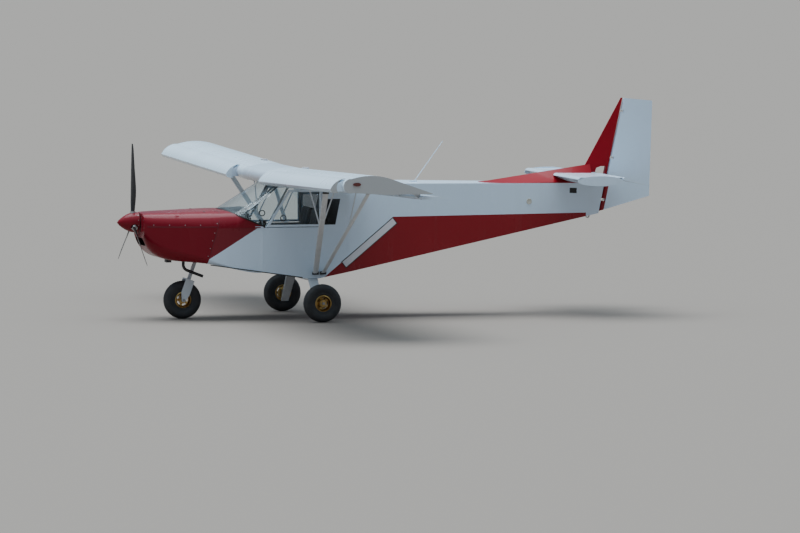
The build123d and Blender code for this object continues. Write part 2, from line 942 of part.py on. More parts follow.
def flap_profile(inset=0.0):
    x = at(flap_hinge[0])
    z = wing_crest_root_z + flap_hinge[1]
    r = flap_nose_r - inset
    tail = flap_chord - flap_nose_r - hollow_pull * inset
    with BuildSketch(Plane.XZ) as section:
        with BuildLine():
            ThreePointArc((x, z + r), (x - r, z), (x, z - r))
            Line((x, z - r), (x + tail, z - 10.0 + inset))
            Line((x + tail, z - 10.0 + inset), (x + tail, z - 5.0))
            ThreePointArc((x + tail, z - 5.0), (x + 110.0, z + 20.0 - inset), (x, z + r))
        make_face()
    return section.sketch


def flap_plane(y):
    return Plane(
        origin=(at(flap_hinge[0]), -y, wing_crest_root_z + flap_hinge[1] + lift(y)),
        x_dir=(1, 0, 0),
        z_dir=(0, -1, wing_rise),
    )


flap_arm = [(-4.0, -9.0), (9.0, 2.0), (6.0, 80.0), (-110.0, 80.0), (-90.0, 40.0)]
with BuildPart() as flaperon_left:
    add(spanwise(flap_profile(), flap_in_y, flap_out_y))
    hollow = flap_profile(surface_skin_t)
    add(
        spanwise(hollow, flap_in_y + surface_skin_t, flap_out_y - surface_skin_t),
        mode=Mode.SUBTRACT,
    )
    for y in flap_hinge_ys:
        add(spanwise(flap_profile(), y - rib_half, y + rib_half))
        add(hinge_notch(flap_plane(y), flap_nose_r, flap_notch_depth), mode=Mode.SUBTRACT)
    for y in flap_hinge_ys:
        add(hinge_pin(flap_plane(y)))
flaperon_right = mirrored(flaperon_left.part)

with BuildPart() as port_flap_arms:
    for y in flap_hinge_ys:
        add(hinge_ear(flap_plane(y), flap_arm))
    add(wing_left.part, mode=Mode.SUBTRACT)
flaperon_brackets = both_sides(port_flap_arms.part)

# Elevator: one surface across both sides, drooped about its hinge as parked
elevator_hinge = (stab_te + 28.0, stab_top_z - 24.0)
elevator_nose_r = 17.0
elevator_inner = 92.0
elevator_tube_r = 10.0
elevator_hinge_ys = (180.0, 640.0, 1100.0)


def elevator_plane(y):
    droop = math.radians(elevator_droop)
    return Plane(
        origin=(at(elevator_hinge[0]), y, elevator_hinge[1]),
        x_dir=(math.cos(droop), 0, -math.sin(droop)),
        z_dir=(0, -1, 0),
    )


def elevator_profile(inset):
    tail = elevator_chord - elevator_nose_r - 10.0 * inset
    r = elevator_nose_r - inset
    with BuildSketch(elevator_plane(0.0)) as section:
        with BuildLine():
            ThreePointArc((0, r), (-r, 0), (0, -r))
            Line((0, -r), (tail, -2.0))
            Line((tail, -2.0), (tail, 2.0))
            Line((tail, 2.0), (0, r))
        make_face()
    return section.sketch


elevator_half_span = stab_half_span - 12.0
elevator_edge_flare = 70.0
with BuildPart() as elevator:
    extrude(elevator_profile(0.0), amount=elevator_half_span, both=True)
    with BuildPart(mode=Mode.PRIVATE) as elevator_hollow:
        extrude(
            elevator_profile(surface_skin_t),
            amount=elevator_half_span - surface_skin_t,
            both=True,
        )
        middle = elevator_inner + elevator_edge_flare + surface_skin_t
        add(block(0.0, far * 2, -middle, middle, 0.0, 2000.0), mode=Mode.SUBTRACT)
    add(elevator_hollow.part, mode=Mode.SUBTRACT)
    add(
        plan_prism(
            [
                (elevator_hinge[0] - 60.0, -elevator_inner),
                (elevator_hinge[0] + elevator_chord + 20.0, -elevator_inner - elevator_edge_flare),
                (elevator_hinge[0] + elevator_chord + 20.0, elevator_inner + elevator_edge_flare),
                (elevator_hinge[0] - 60.0, elevator_inner),
            ],
            1000.0,
            2000.0,
        ),
        mode=Mode.SUBTRACT,
    )
    for y in elevator_hinge_ys:
        for side in (-1, 1):
            rib_profile = elevator_profile(0.0).moved(Location((0, side * y, 0)))
            extrude(rib_profile, amount=rib_half, both=True)
            add(hinge_notch(elevator_plane(side * y), elevator_nose_r, 20.0), mode=Mode.SUBTRACT)
    for y in elevator_hinge_ys:
        for side in (-1, 1):
            add(hinge_pin(elevator_plane(side * y)))
    with BuildSketch(Plane.XZ):
        with Locations((at(elevator_hinge[0]), elevator_hinge[1])):
            Circle(elevator_tube_r)
    extrude(amount=elevator_inner + 40.0, both=True)


def level_plane(y):
    return Plane(origin=(at(elevator_hinge[0]), y, elevator_hinge[1]), x_dir=(1, 0, 0), z_dir=(0, -1, 0))


with BuildPart() as elevator_hinges:
    for y in elevator_hinge_ys:
        for side in (-1, 1):
            add(hinge_ear(level_plane(side * y), [(0, -10.0), (0, 10.0), (-60.0, 10.0), (-60.0, -10.0)]))
    extrude(stab_profile(0.0), amount=stab_half_span, both=True, mode=Mode.SUBTRACT)

# The elevator's centre tube passes through a notch in the fin root
with BuildPart() as fin:
    add(fin_blank.part)
    add(
        side_prism(
            [
                (stab_te - 6.0, 1500.0),
                (stab_te - 6.0, stab_top_z + 8.0),
                (stab_te + 6.0, notch_high - 20.0),
                (stab_te + 60.0, notch_high),
                (hinge_x(notch_high) - post_gap - 26.0, notch_high),
                (hinge_x(1500.0) - post_gap - 26.0, 1500.0),
            ],
            200.0,
        ),
        mode=Mode.SUBTRACT,
    )
    add(rear_fuselage.part, mode=Mode.SUBTRACT)

# Rudder: rounded nose about the swept hinge line, tapering to a thin edge
rudder_top_rear = (rudder_tail, 2499.0)
rudder_low_rear = (4237.0, 1369.0)
rudder_low_front_z = 1211.0
rudder_top_front_z = 2533.0
rudder_dir = Vector(math.sin(math.radians(hinge_sweep)), 0, math.cos(math.radians(hinge_sweep)))
rudder_hinge_zs = (1330.0, 1830.0, 2380.0)


def rudder_section(z, nose_r, tail_cut=0.0):
    slope = (rudder_top_rear[0] - rudder_low_rear[0]) / (rudder_top_rear[1] - rudder_low_rear[1])
    te = at(rudder_low_rear[0] + (z - rudder_low_rear[1]) * slope - tail_cut)
    hinge = at(hinge_x(z))
    with BuildSketch(Plane.XY.offset(z)) as section:
        with BuildLine():
            ThreePointArc((hinge, nose_r), (hinge - nose_r, 0), (hinge, -nose_r))
            Line((hinge, -nose_r), (te, -2.5))
            Line((te, -2.5), (te, 2.5))
            Line((te, 2.5), (hinge, nose_r))
        make_face()
    return section.sketch


def rudder_plane(z):
    return Plane(
        origin=(at(hinge_x(z)), 0, z),
        x_dir=(rudder_dir.Z, 0, -rudder_dir.X),
        z_dir=rudder_dir,
    )


def rudder_body(inset):
    """The rudder's tapering form, trimmed to its side outline; inset for its hollow."""
    low, high, taper = 1150.0, 2600.0, 8.0
    top_z = rudder_top_front_z - inset
    with BuildPart() as body:
        loft(
            [
                rudder_section(low, rudder_nose_r - inset, 12.0 * inset),
                rudder_section(high, rudder_nose_r - inset - taper, 12.0 * inset),
            ],
            ruled=True,
        )
        add(
            side_prism(
                [
                    (hinge_x(hinge_foot_z) - 60.0, hinge_foot_z + inset),
                    (hinge_x(hinge_foot_z) + 26.0, rudder_low_front_z + inset),
                    (rudder_low_rear[0], rudder_low_rear[1] + inset),
                    (rudder_top_rear[0], rudder_top_rear[1] - inset),
                    (hinge_x(top_z), top_z),
                    (hinge_x(top_z) - 60.0, top_z),
                ],
                400.0,
            ),
            mode=Mode.INTERSECT,
        )
    return body.part


def rudder_rib(z):
    """A full-depth slice of the rudder that carries one hinge."""
    with BuildPart() as rib:
        add(rudder_body(0.0))
        with BuildSketch(rudder_plane(z).offset(-rib_half)):
            Rectangle(2000.0, 400.0)
        extrude(amount=2 * rib_half, mode=Mode.INTERSECT)
    return rib.part


with BuildPart() as rudder:
    add(rudder_body(0.0))
    add(rudder_body(surface_skin_t), mode=Mode.SUBTRACT)
    for z in rudder_hinge_zs:
        add(rudder_rib(z))
        add(hinge_notch(rudder_plane(z), rudder_nose_r, 20.0), mode=Mode.SUBTRACT)
    for z in rudder_hinge_zs:
        add(hinge_pin(rudder_plane(z)))

with BuildPart() as tail_hinges:
    for z in rudder_hinge_zs:
        add(hinge_ear(rudder_plane(z), [(0, -10.0), (0, 10.0), (-post_gap, 10.0), (-post_gap, -10.0)]))
    add(fin.part, mode=Mode.SUBTRACT)
    add(elevator_hinges.part)

# Wing struts: streamlined tubes between round eyes on the fuselage and under the wing
# columns: half chord, half thickness, foot (station, y, z), top (station, y, z)
strut_rows = [
    (33.0, 12.0, (20.0, 592.0, 548.0), (-310.0, 2470.0, 1590.0)),
    (24.0, 10.0, (112.0, 592.0, 548.0), (200.0, 2470.0, 1582.0)),
]
strut_tail_t = 3.0
eye_r = 20.0
eye_len = 72.0
lug_up = 60.0
lug_t = 28.0
lug_inset = 8.0


def port(point):
    return (point[0], -point[1], point[2])


def eye(point, upward):
    """A round eye with its lug, along X, at a strut's end."""
    x0 = point[0] - eye_len / 2
    with BuildPart() as fitting:
        with BuildSketch(Plane.YZ.offset(at(x0))):
            with Locations((-point[1], point[2])):
                Circle(eye_r)
        extrude(amount=eye_len)
        if upward:
            y0, y1 = -point[1] - lug_t / 2, -point[1] + lug_t / 2
            z0, z1 = point[2], point[2] + lug_up
        else:
            y0, y1 = -point[1], -cabin_half_w
            z0, z1 = point[2] - lug_t / 2, point[2] + lug_t / 2
        add(block(x0 + lug_inset, x0 + eye_len - lug_inset, y0, y1, z0, z1))
    return fitting.part


with BuildPart() as port_fittings:
    for row in strut_rows:
        add(eye(row[2], False))
        add(eye(row[3], True))
    add(wing_left.part, mode=Mode.SUBTRACT)
strut_fittings = both_sides(port_fittings.part)

with BuildPart() as port_struts:
    for half_chord, half_thick, foot, top in strut_rows:
        a = Vector(at(foot[0]), -foot[1], foot[2])
        b = Vector(at(top[0]), -top[1], top[2])
        along = b - a
        chordwise = Vector(1, 0, 0) - along * (along.X / along.length**2)
        with BuildSketch(Plane(origin=a, x_dir=chordwise, z_dir=along)):
            nose_x = half_thick - half_chord
            with BuildLine():
                ThreePointArc((nose_x, half_thick), (-half_chord, 0.0), (nose_x, -half_thick))
                Line((nose_x, -half_thick), (half_thick, -half_thick))
                Line((half_thick, -half_thick), (half_chord, -strut_tail_t / 2))
                Line((half_chord, -strut_tail_t / 2), (half_chord, strut_tail_t / 2))
                Line((half_chord, strut_tail_t / 2), (half_thick, half_thick))
                Line((half_thick, half_thick), (nose_x, half_thick))
            make_face()
        extrude(amount=along.length)
    add(port_fittings.part, mode=Mode.SUBTRACT)
wing_struts = both_sides(port_struts.part)


def on_strut(row, share):
    foot, top = strut_rows[row][2], strut_rows[row][3]
    return tuple(f + (t - f) * share for f, t in zip(foot, top))


# columns: start point, end point of each jury strut
jury_rows = [
    (on_strut(0, 0.54), (-262.0, 1390.0, 1640.0)),
    (on_strut(0, 0.54), (60.0, 1500.0, 1640.0)),
    (on_strut(1, 0.56), (330.0, 1420.0, 1640.0)),
]
with BuildPart() as port_jury:
    for foot, top in jury_rows:
        add(rod_between(port(foot), port(top), 8.0))
    add(wing_left.part, mode=Mode.SUBTRACT)
    add(port_struts.part, mode=Mode.SUBTRACT)
jury_struts = both_sides(port_jury.part)

# Main gear: one bent leaf under the belly, with an axle block and stub at each end
leg_run = (leaf_bend_y, belly_z - leaf_t), (leaf_end_y, leaf_end_z)
with BuildPart() as main_gear_leaf:
    with BuildSketch(Plane.YZ.offset(at(-leaf_top_w / 2))):
        with BuildLine():
            FilletPolyline(
                (-leg_run[1][0], leg_run[1][1]),
                (-leg_run[0][0], leg_run[0][1]),
                (leg_run[0][0], leg_run[0][1]),
                (leg_run[1][0], leg_run[1][1]),
                radius=70.0,
            )
            offset(amount=leaf_t, side=Side.LEFT)
        make_face()
    extrude(amount=leaf_top_w)
    add(
        plan_prism(
            [
                (-leaf_top_w / 2, -leaf_bend_y),
                (-leaf_end_w / 2, -leaf_end_y - 60.0),
                (leaf_end_w / 2, -leaf_end_y - 60.0),
                (leaf_top_w / 2, -leaf_bend_y),
                (leaf_top_w / 2, leaf_bend_y),
                (leaf_end_w / 2, leaf_end_y + 60.0),
                (-leaf_end_w / 2, leaf_end_y + 60.0),
                (-leaf_top_w / 2, leaf_bend_y),
            ],
            0.0,
            1000.0,
        ),
        mode=Mode.INTERSECT,
    )

hub_inner = track_half - rim_w / 2
with BuildPart() as port_axle:
    with BuildSketch(Plane.XZ.offset(760.0)):
        with Locations((at(0.0), tyre_r)):
            RectangleRounded(70.0, 70.0, 12.0)
    extrude(amount=hub_inner - 24.0 - 760.0)
    with BuildSketch(Plane.XZ.offset(hub_inner - 24.0)):
        with Locations((at(0.0), tyre_r)):
            Circle(26.0)
    extrude(amount=20.0)
    with BuildSketch(Plane.XZ.offset(hub_inner - 30.0)):
        with Locations((at(0.0), tyre_r)):
            Circle(axle_r)
    extrude(amount=rim_w + 40.0)
    with BuildSketch(Plane.YZ.offset(at(-100.0))):
        with BuildLine():
            Polyline(
                [
                    (-leaf_end_y, leaf_end_z),
                    (-leaf_bend_y, belly_z - leaf_t),
                    (0.0, belly_z - leaf_t),
                    (0.0, leaf_end_z),
                ],
                close=True,
            )
        make_face()
    extrude(amount=200.0, mode=Mode.SUBTRACT)
    add(main_gear_leaf.part, mode=Mode.SUBTRACT)
    caliper_out = hub_inner - 3.0
    add(block(30.0, 80.0, -caliper_out, -(hub_inner - 34.0), tyre_r - 24.0, tyre_r + 24.0))
    add(block(-10.0, 60.0, -(hub_inner - 24.0), -(hub_inner - 44.0), tyre_r - 14.0, tyre_r + 14.0))
main_axles = both_sides(port_axle.part)


def tyre_part(y, x):
    """Balloon tyre about an axle along Y: round shoulders, flat bead faces on the rim."""
    half = tyre_w / 2
    with BuildPart() as tyre:
        with BuildSketch(Plane.XY):
            with BuildLine():
                Line((rim_r, -rim_w / 2 + 8.0), (rim_r, rim_w / 2 - 8.0))
                ThreePointArc((rim_r, rim_w / 2 - 8.0), (rim_r + 52.0, half), (tyre_r - 34.0, half - 22.0))
                ThreePointArc((tyre_r - 34.0, half - 22.0), (tyre_r, 0), (tyre_r - 34.0, -half + 22.0))
                ThreePointArc(
                    (tyre_r - 34.0, -half + 22.0), (rim_r + 52.0, -half), (rim_r, -rim_w / 2 + 8.0)
                )
            make_face()
        revolve(axis=Axis.Y)
    return tyre.part.moved(Location((x, y, tyre_r)))


window_in_r = 47.0
window_out_r = 68.0
window_half_deg = 23.0
window_count = 5
disc_r = 72.0
disc_t = 5.0
disc_hat_r = 38.0
disc_stand = 6.0


def around_axle(radius, degrees):
    a = math.radians(degrees)
    return radius * math.cos(a), radius * math.sin(a)


def rim_window():
    """One kidney-shaped window between two spokes."""
    low, high = window_in_r, window_out_r
    with BuildSketch(Plane.XZ.offset(-60.0)) as window:
        with BuildLine():
            ThreePointArc(
                around_axle(high, -window_half_deg),
                around_axle(high, 0.0),
                around_axle(high, window_half_deg),
            )
            Line(around_axle(high, window_half_deg), around_axle(low, window_half_deg))
            ThreePointArc(
                around_axle(low, window_half_deg),
                around_axle(low, 0.0),
                around_axle(low, -window_half_deg),
            )
            Line(around_axle(low, -window_half_deg), around_axle(high, -window_half_deg))
        make_face()
        fillet(window.vertices(), 5.0)
    return window.sketch


def rim_part(y, x, bore, brake=0):
    """Wheel rim about an axle along Y; brake is the side of its brake disc, or 0 for none."""
    face = rim_w / 2 - 14.0
    with BuildPart() as rim:
        with BuildSketch(Plane.XY):
            with BuildLine():
                Polyline(
                    [
                        (rim_r, -rim_w / 2 + 8.0),
                        (rim_r, rim_w / 2 - 8.0),
                        (rim_r - 10.0, rim_w / 2 - 4.0),
                        (rim_r - 14.0, rim_w / 2 - 22.0),
                        (rim_r - 26.0, 16.0),
                        (44.0, 12.0),
                        (40.0, rim_w / 2 - 14.0),
                        (bore, rim_w / 2 - 14.0),
                        (bore, -rim_w / 2 + 14.0),
                        (40.0, -rim_w / 2 + 14.0),
                        (44.0, -12.0),
                        (rim_r - 26.0, -16.0),
                        (rim_r - 14.0, -rim_w / 2 + 22.0),
                        (rim_r - 10.0, -rim_w / 2 + 4.0),
                    ],
                    close=True,
                )
            make_face()
        revolve(axis=Axis.Y)
        for i in range(window_count):
            window = rim_window().rotate(Axis.Y, i * 360.0 / window_count)
            extrude(window, amount=120.0, mode=Mode.SUBTRACT)
        if brake:
            for radius, reach in ((disc_hat_r, disc_stand), (disc_r, disc_stand + disc_t)):
                start = face if radius == disc_hat_r else face + disc_stand
                with BuildSketch(Plane.XZ.offset(-brake * start)):
                    Circle(radius)
                    Circle(bore, mode=Mode.SUBTRACT)
                extrude(amount=-brake * (face + reach - start))
    return rim.part.moved(Location((x, y, tyre_r)))


with BuildPart() as main_tyre_left:
    add(tyre_part(-track_half, at(0.0)))
with BuildPart() as main_rim_left:
    add(rim_part(-track_half, at(0.0), axle_r + running_gap, 1))
main_tyre_right = mirrored(main_tyre_left.part)
main_rim_right = mirrored(main_rim_left.part)

nose_axle_r = 10.0
collar_r = 16.0
collar_t = 8.0
tow_pin_r = 9.0
tow_pin_len = 14.0
with BuildPart() as nose_tyre:
    add(tyre_part(0.0, at(-wheelbase)))
with BuildPart() as nose_rim:
    add(rim_part(0.0, at(-wheelbase), nose_axle_r + running_gap))

# Nose leg and fork
crown_low = tyre_r + fork_gap
crown_t = 16.0
fork_in = tyre_w / 2 + 11.0
blade_plane = Plane(
    origin=(at(-wheelbase), 0, tyre_r),
    x_dir=(leg_dir.Z, 0, -leg_dir.X),
    z_dir=(0, -1, 0),
)
with BuildPart() as nose_fork:
    for side in (-1, 1):
        start = side * fork_in if side > 0 else -(fork_in + fork_t)
        with BuildSketch(blade_plane.offset(start)):
            with BuildLine():
                Polyline(
                    [
                        (-fork_w / 2 - leg_lead, crown_low + crown_t),
                        (-fork_w / 2 - leg_lead, 80.0),
                        (-fork_end_w / 2, -8.0),
                        (-fork_end_w / 2 + 10.0, -fork_end_w / 2),
                        (fork_end_w / 2 - 10.0, -fork_end_w / 2),
                        (fork_end_w / 2, -8.0),
                        (fork_w / 2 - leg_lead, 80.0),
                        (fork_w / 2 - leg_lead, crown_low + crown_t),
                    ],
                    close=True,
                )
            make_face()
            Circle(nose_axle_r, mode=Mode.SUBTRACT)
        extrude(amount=fork_t)
    with BuildSketch(leg_plane.offset(crown_low)):
        Rectangle(2 * (fork_in + fork_t), fork_w)
    extrude(amount=crown_t)
    with BuildSketch(leg_plane.offset(crown_low + crown_t)):
        Circle(leg_r)
    extrude(amount=leg_top - crown_low - crown_t)

# Axle through both blades, with a collar outside each and a pin beyond it for a tow bar
# columns: radius, reach from the middle
axle_steps = [
    (nose_axle_r, fork_in + fork_t),
    (tow_pin_r, fork_in + fork_t + collar_t + tow_pin_len),
]
with BuildPart() as nose_axle:
    for radius, reach in axle_steps:
        with BuildSketch(Plane.XZ):
            with Locations((at(-wheelbase), tyre_r)):
                Circle(radius)
        extrude(amount=reach, both=True)
    for side in (-1, 1):
        with BuildSketch(Plane.XZ.offset(side * (fork_in + fork_t))):
            with Locations((at(-wheelbase), tyre_r)):
                Circle(collar_r)
        extrude(amount=side * collar_t)

# Two bearing blocks carry the leg on the firewall
with BuildPart() as nose_leg_bearings:
    for up in (leg_top - 140.0, leg_top - 34.0):
        with BuildSketch(leg_plane.offset(up)):
            Rectangle(86.0, 66.0)
        extrude(amount=28.0)
        with BuildSketch(leg_plane.offset(up)):
            with Locations((0, -120.0)):
                Rectangle(60.0, 240.0)
        extrude(amount=28.0)
    with BuildSketch(leg_plane.offset(300.0)):
        Circle(leg_r + running_gap)
    extrude(amount=500.0, mode=Mode.SUBTRACT)
    add(
        side_prism(
            [
                (rake_x(0.0, firewall_setback), 0.0),
                (rake_x(2000.0, firewall_setback), 2000.0),
                (far, 2000.0),
                (far, 0.0),
            ],
            1000.0,
        ),
        mode=Mode.SUBTRACT,
    )

with BuildPart() as exhaust_pipe:
    with BuildLine() as pipe_path:
        FilletPolyline(*[(at(s), exhaust_y, z) for s, z in exhaust_path], radius=70.0)
    with BuildSketch(Plane(origin=pipe_path.line @ 0, z_dir=pipe_path.line % 0)):
        Circle(exhaust_r)
    sweep()
    with BuildSketch(Plane(origin=pipe_path.line @ 1, z_dir=-(pipe_path.line % 1))):
        Circle(exhaust_r - exhaust_wall)
    extrude(amount=exhaust_bore, mode=Mode.SUBTRACT)

# Propeller: three twisted blades in round ferrules on a turned hub behind a spinner
# columns: radius, chord, thickness, pitch angle, lead of the front edge over the blade's line
blade_rows = [
    (112.0, 50.0, 34.0, 46.0, 25.0),
    (165.0, 64.0, 25.0, 40.0, 30.0),
    (300.0, 94.0, 16.0, 30.0, 36.0),
    (560.0, 92.0, 11.0, 21.0, 36.0),
    (800.0, 66.0, 8.0, 16.0, 31.0),
    (prop_r, 34.0, 4.0, 13.0, 24.0),
]
blade_camber = 0.66
ferrule_r = 32.0
ferrule_end = 130.0


def blade_section(row):
    """Cambered section across a blade, its front edge and rounder face towards the air."""
    radius, chord, thick, pitch, lead = row
    a = math.radians(pitch)
    plane = Plane(
        origin=(at(prop_plane), 0, prop_z + radius),
        x_dir=(-math.sin(a), math.cos(a), 0),
        z_dir=(0, 0, 1),
    )
    middle = lead - chord / 2
    with BuildSketch(plane) as section:
        with BuildLine():
            ThreePointArc((lead - chord, 0), (middle, blade_camber * thick), (lead, 0))
            ThreePointArc((lead, 0), (middle, (blade_camber - 1.0) * thick), (lead - chord, 0))
        make_face()
    return section.sketch


def radial_plane(turn):
    """Plane across a blade's line, its normal pointing outwards at an angle round the hub."""
    a = math.radians(turn)
    return Plane(
        origin=(at(prop_plane), 0, prop_z),
        x_dir=(1, 0, 0),
        z_dir=(0, -math.sin(a), math.cos(a)),
    )


blade_turns = (0.0, 120.0, 240.0)
hub_front = prop_plane - 48.0
back_plate_t = 5.0
hub_rear = spinner_base - back_plate_t
shoulder_drop = 5.0
spinner_taper = shoulder_drop / (spinner_base - prop_plane)
with BuildPart() as prop_hub:
    with BuildSketch(Plane.YZ.offset(at(hub_front))):
        with Locations((0, prop_z)):
            Circle(hub_r)
    extrude(amount=hub_rear - hub_front)
    with BuildSketch(Plane.YZ.offset(at(spinner_base - back_plate_t))):
        with Locations((0, prop_z)):
            Circle(spinner_r - spinner_t - back_plate_t * spinner_taper - seat_gap)
    extrude(amount=back_plate_t)
    with BuildSketch(Plane.YZ.offset(at(prop_plane - 2.0))):
        with Locations((0, prop_z)):
            Circle(prop_shaft_r + running_gap)
    extrude(amount=100.0, mode=Mode.SUBTRACT)
    for turn in blade_turns:
        with BuildSketch(radial_plane(turn).offset(prop_shaft_r + 10.0)):
            Circle(ferrule_r)
        extrude(amount=ferrule_end - prop_shaft_r - 10.0)

with BuildPart() as one_blade:
    loft([blade_section(row) for row in blade_rows])
    add(prop_hub.part, mode=Mode.SUBTRACT)

prop_axis = Axis((at(prop_plane), 0, prop_z), (1, 0, 0))
with BuildPart() as propeller_blades:
    for turn in blade_turns:
        add(one_blade.part.rotate(prop_axis, turn))


def spinner_body(inset):
    """The spinner's pointed form, turned about the propeller's axis."""
    base = (at(spinner_base), prop_z)
    rim_top = (at(spinner_base), prop_z + spinner_r - inset)
    shoulder = (at(prop_plane), prop_z + spinner_r - shoulder_drop - inset)
    tip = (at(spinner_tip) + 2.0 * inset, prop_z)
    with BuildPart() as body:
        with BuildSketch(Plane.XZ):
            with BuildLine():
                Line(base, rim_top)
                Line(rim_top, shoulder)
                Bezier(
                    shoulder,
                    (shoulder[0] - 70.0, shoulder[1] - 6.0),
                    (tip[0] + 20.0, prop_z + 40.0),
                    tip,
                )
                Line(tip, base)
            make_face()
        revolve(axis=prop_axis)
    return body.part.rotate(prop_axis, blade_turns[1] / 2)


# One round hole for each blade's root
with BuildPart() as spinner:
    add(spinner_body(0.0))
    add(spinner_body(spinner_t), mode=Mode.SUBTRACT)
    for turn in blade_turns:
        with BuildSketch(radial_plane(turn)):
            Circle(spinner_hole_r)
        extrude(amount=2 * spinner_r, mode=Mode.SUBTRACT)

# Doors: a tube-like flat frame with a clear panel, hung from a hinge line along its top
door_out = cabin_half_w + 2.0
door_t = 14.0
door_in = door_out - door_t
door_low = sill_z + 8.0
door_high = 1522.0
door_hinge_z = 1541.0
door_front_low = -559.0
door_front_high = -289.0
door_back = door_rear - 8.0
door_bar = 26.0
knuckle_r = 9.0
door_knuckles = (-180.0, 10.0)


def door_outline(inset):
    """The door's four-sided outline, its front edge sloping, moved in by inset."""
    slope = (door_front_high - door_front_low) / (door_high - door_low)
    lean = math.hypot(1.0, slope)
    return [
        (door_front_low + inset * slope + inset * lean, door_low + inset),
        (door_back - inset, door_low + inset),
        (door_back - inset, door_high - inset),
        (door_front_high - inset * slope + inset * lean, door_high - inset),
    ]


def side_plate(points, y_low, y_high):
    with BuildPart() as plate:
        with BuildSketch(Plane.XZ.offset(-y_low)):
            with BuildLine():
                Polyline([(at(s), z) for s, z in points], close=True)
            make_face()
        extrude(amount=-(y_high - y_low))
    return plate.part


def rod_y(station, y, z, radius, length_along_x):
    """A bar along X, centred at a station."""
    with BuildPart() as bar:
        with BuildSketch(Plane.YZ.offset(at(station - length_along_x / 2))):
            with Locations((y, z)):
                Circle(radius)
        extrude(amount=length_along_x)
    return bar.part


door_mid = (door_out + door_in) / 2
with BuildPart() as door_frame_left:
    add(side_plate(door_outline(0.0), -door_out, -door_in))
    add(side_plate(door_outline(door_bar), -door_out - 1, -door_in + 1), mode=Mode.SUBTRACT)
    for station in door_knuckles:
        add(block(station - 30, station + 30, -door_out, -door_in, door_high - 4, door_hinge_z))
        add(rod_y(station, -door_mid, door_hinge_z, knuckle_r, 60.0))
    for station in door_knuckles:
        add(rod_y(station, -door_mid, door_hinge_z, pin_r + running_gap, 80.0), mode=Mode.SUBTRACT)
with BuildPart() as door_window_left:
    add(side_plate(door_outline(door_bar), -door_mid - 1.5, -door_mid + 1.5))
door_frame_right = mirrored(door_frame_left.part)
door_window_right = mirrored(door_window_left.part)

# Fixed door hinges: a pin on two cheeks that hang from the roof tube
cheek_x = 36.0
with BuildPart() as port_door_hinges:
    for station in door_knuckles:
        add(rod_y(station, -door_mid, door_hinge_z, pin_r, 2 * cheek_x + 4.0))
        for side in (-1, 1):
            x = station + side * cheek_x
            add(block(x - 2, x + 2, -door_mid - 7, -frame_y - frame_r, door_hinge_z - 7, door_hinge_z + 22))
door_hinges = both_sides(port_door_hinges.part)

# Small fittings
with BuildPart() as antenna:
    add(rod_between((1344.0, 0.0, tail_top_front_z - 30.0), (1708.0, 0.0, 2048.0), 4.0))
    add(block(1300.0, 1390.0, -22.0, 22.0, 1550.0, 1584.0))
    add(tail_cone(0.0), mode=Mode.SUBTRACT)

cap_r = 42.0
with BuildPart() as port_cap:
    with BuildSketch(Plane.XY.offset(1740.0)):
        with Locations((at(-210.0), -1060.0)):
            Circle(cap_r)
    extrude(amount=70.0)
    add(wing_left.part, mode=Mode.SUBTRACT)
fuel_caps = both_sides(port_cap.part)

with BuildPart() as port_light:
    with BuildSketch(Plane.XZ.offset(wing_half_span - tip_light_t)):
        with Locations((at(wing_nose + 150.0), wing_crest_root_z + lift(wing_half_span) - 95.0)):
            Ellipse(46.0, 20.0)
    extrude(amount=tip_light_t)
nav_lights = both_sides(port_light.part)

with BuildPart() as tail_tiedown:
    with BuildSketch(Plane.XZ.offset(-6.0)):
        with Locations((at(3480.0), belly(3480.0) - 16.0)):
            Circle(26.0)
            Circle(13.0, mode=Mode.SUBTRACT)
    extrude(amount=12.0)
    add(tail_cone(0.0), mode=Mode.SUBTRACT)

nodes = {
    "cowl_upper": cowl_upper,
    "cowl_lower": cowl_lower,
    "cowl_outlet": cowl_outlet,
    "engine_block": engine_block,
    "cabin_tub": cabin_tub,
    "forward_deck": forward_deck,
    "instrument_panel": instrument_panel,
    "windshield": windshield,
    "wing_center": wing_center,
    "rear_cabin_skin": rear_cabin_skin,
    "rear_windows": rear_windows,
    "cabin_frame": cabin_frame,
    "seat_pan": seat_pan,
    "control_stick": control_stick,
    "bulkheads": bulkheads,
    "seats": seats,
    "rear_fuselage": rear_fuselage,
    "stabilizer": stabilizer,
    "fin": fin,
    "dorsal_fairing": dorsal_fairing,
    "wing_left": wing_left,
    "wing_right": wing_right,
    "slat_left": slat_left,
    "slat_right": slat_right,
    "slat_brackets": slat_brackets,
    "flaperon_left": flaperon_left,
    "flaperon_right": flaperon_right,
    "flaperon_brackets": flaperon_brackets,
    "elevator": elevator,
    "rudder": rudder,
    "tail_hinges": tail_hinges,
    "wing_struts": wing_struts,
    "jury_struts": jury_struts,
    "strut_fittings": strut_fittings,
    "main_gear_leaf": main_gear_leaf,
    "main_axles": main_axles,
    "main_tyre_left": main_tyre_left,
    "main_tyre_right": main_tyre_right,
    "main_rim_left": main_rim_left,
    "main_rim_right": main_rim_right,
    "nose_tyre": nose_tyre,
    "nose_rim": nose_rim,
    "nose_fork": nose_fork,
    "nose_axle": nose_axle,
    "nose_leg_bearings": nose_leg_bearings,
    "exhaust_pipe": exhaust_pipe,
    "propeller_blades": propeller_blades,
    "prop_hub": prop_hub,
    "spinner": spinner,
    "door_frame_left": door_frame_left,
    "door_frame_right": door_frame_right,
    "door_window_left": door_window_left,
    "door_window_right": door_window_right,
    "door_hinges": door_hinges,
    "antenna": antenna,
    "fuel_caps": fuel_caps,
    "nav_lights": nav_lights,
    "tail_tiedown": tail_tiedown,
}
for node, piece in nodes.items():
    save(piece, node)
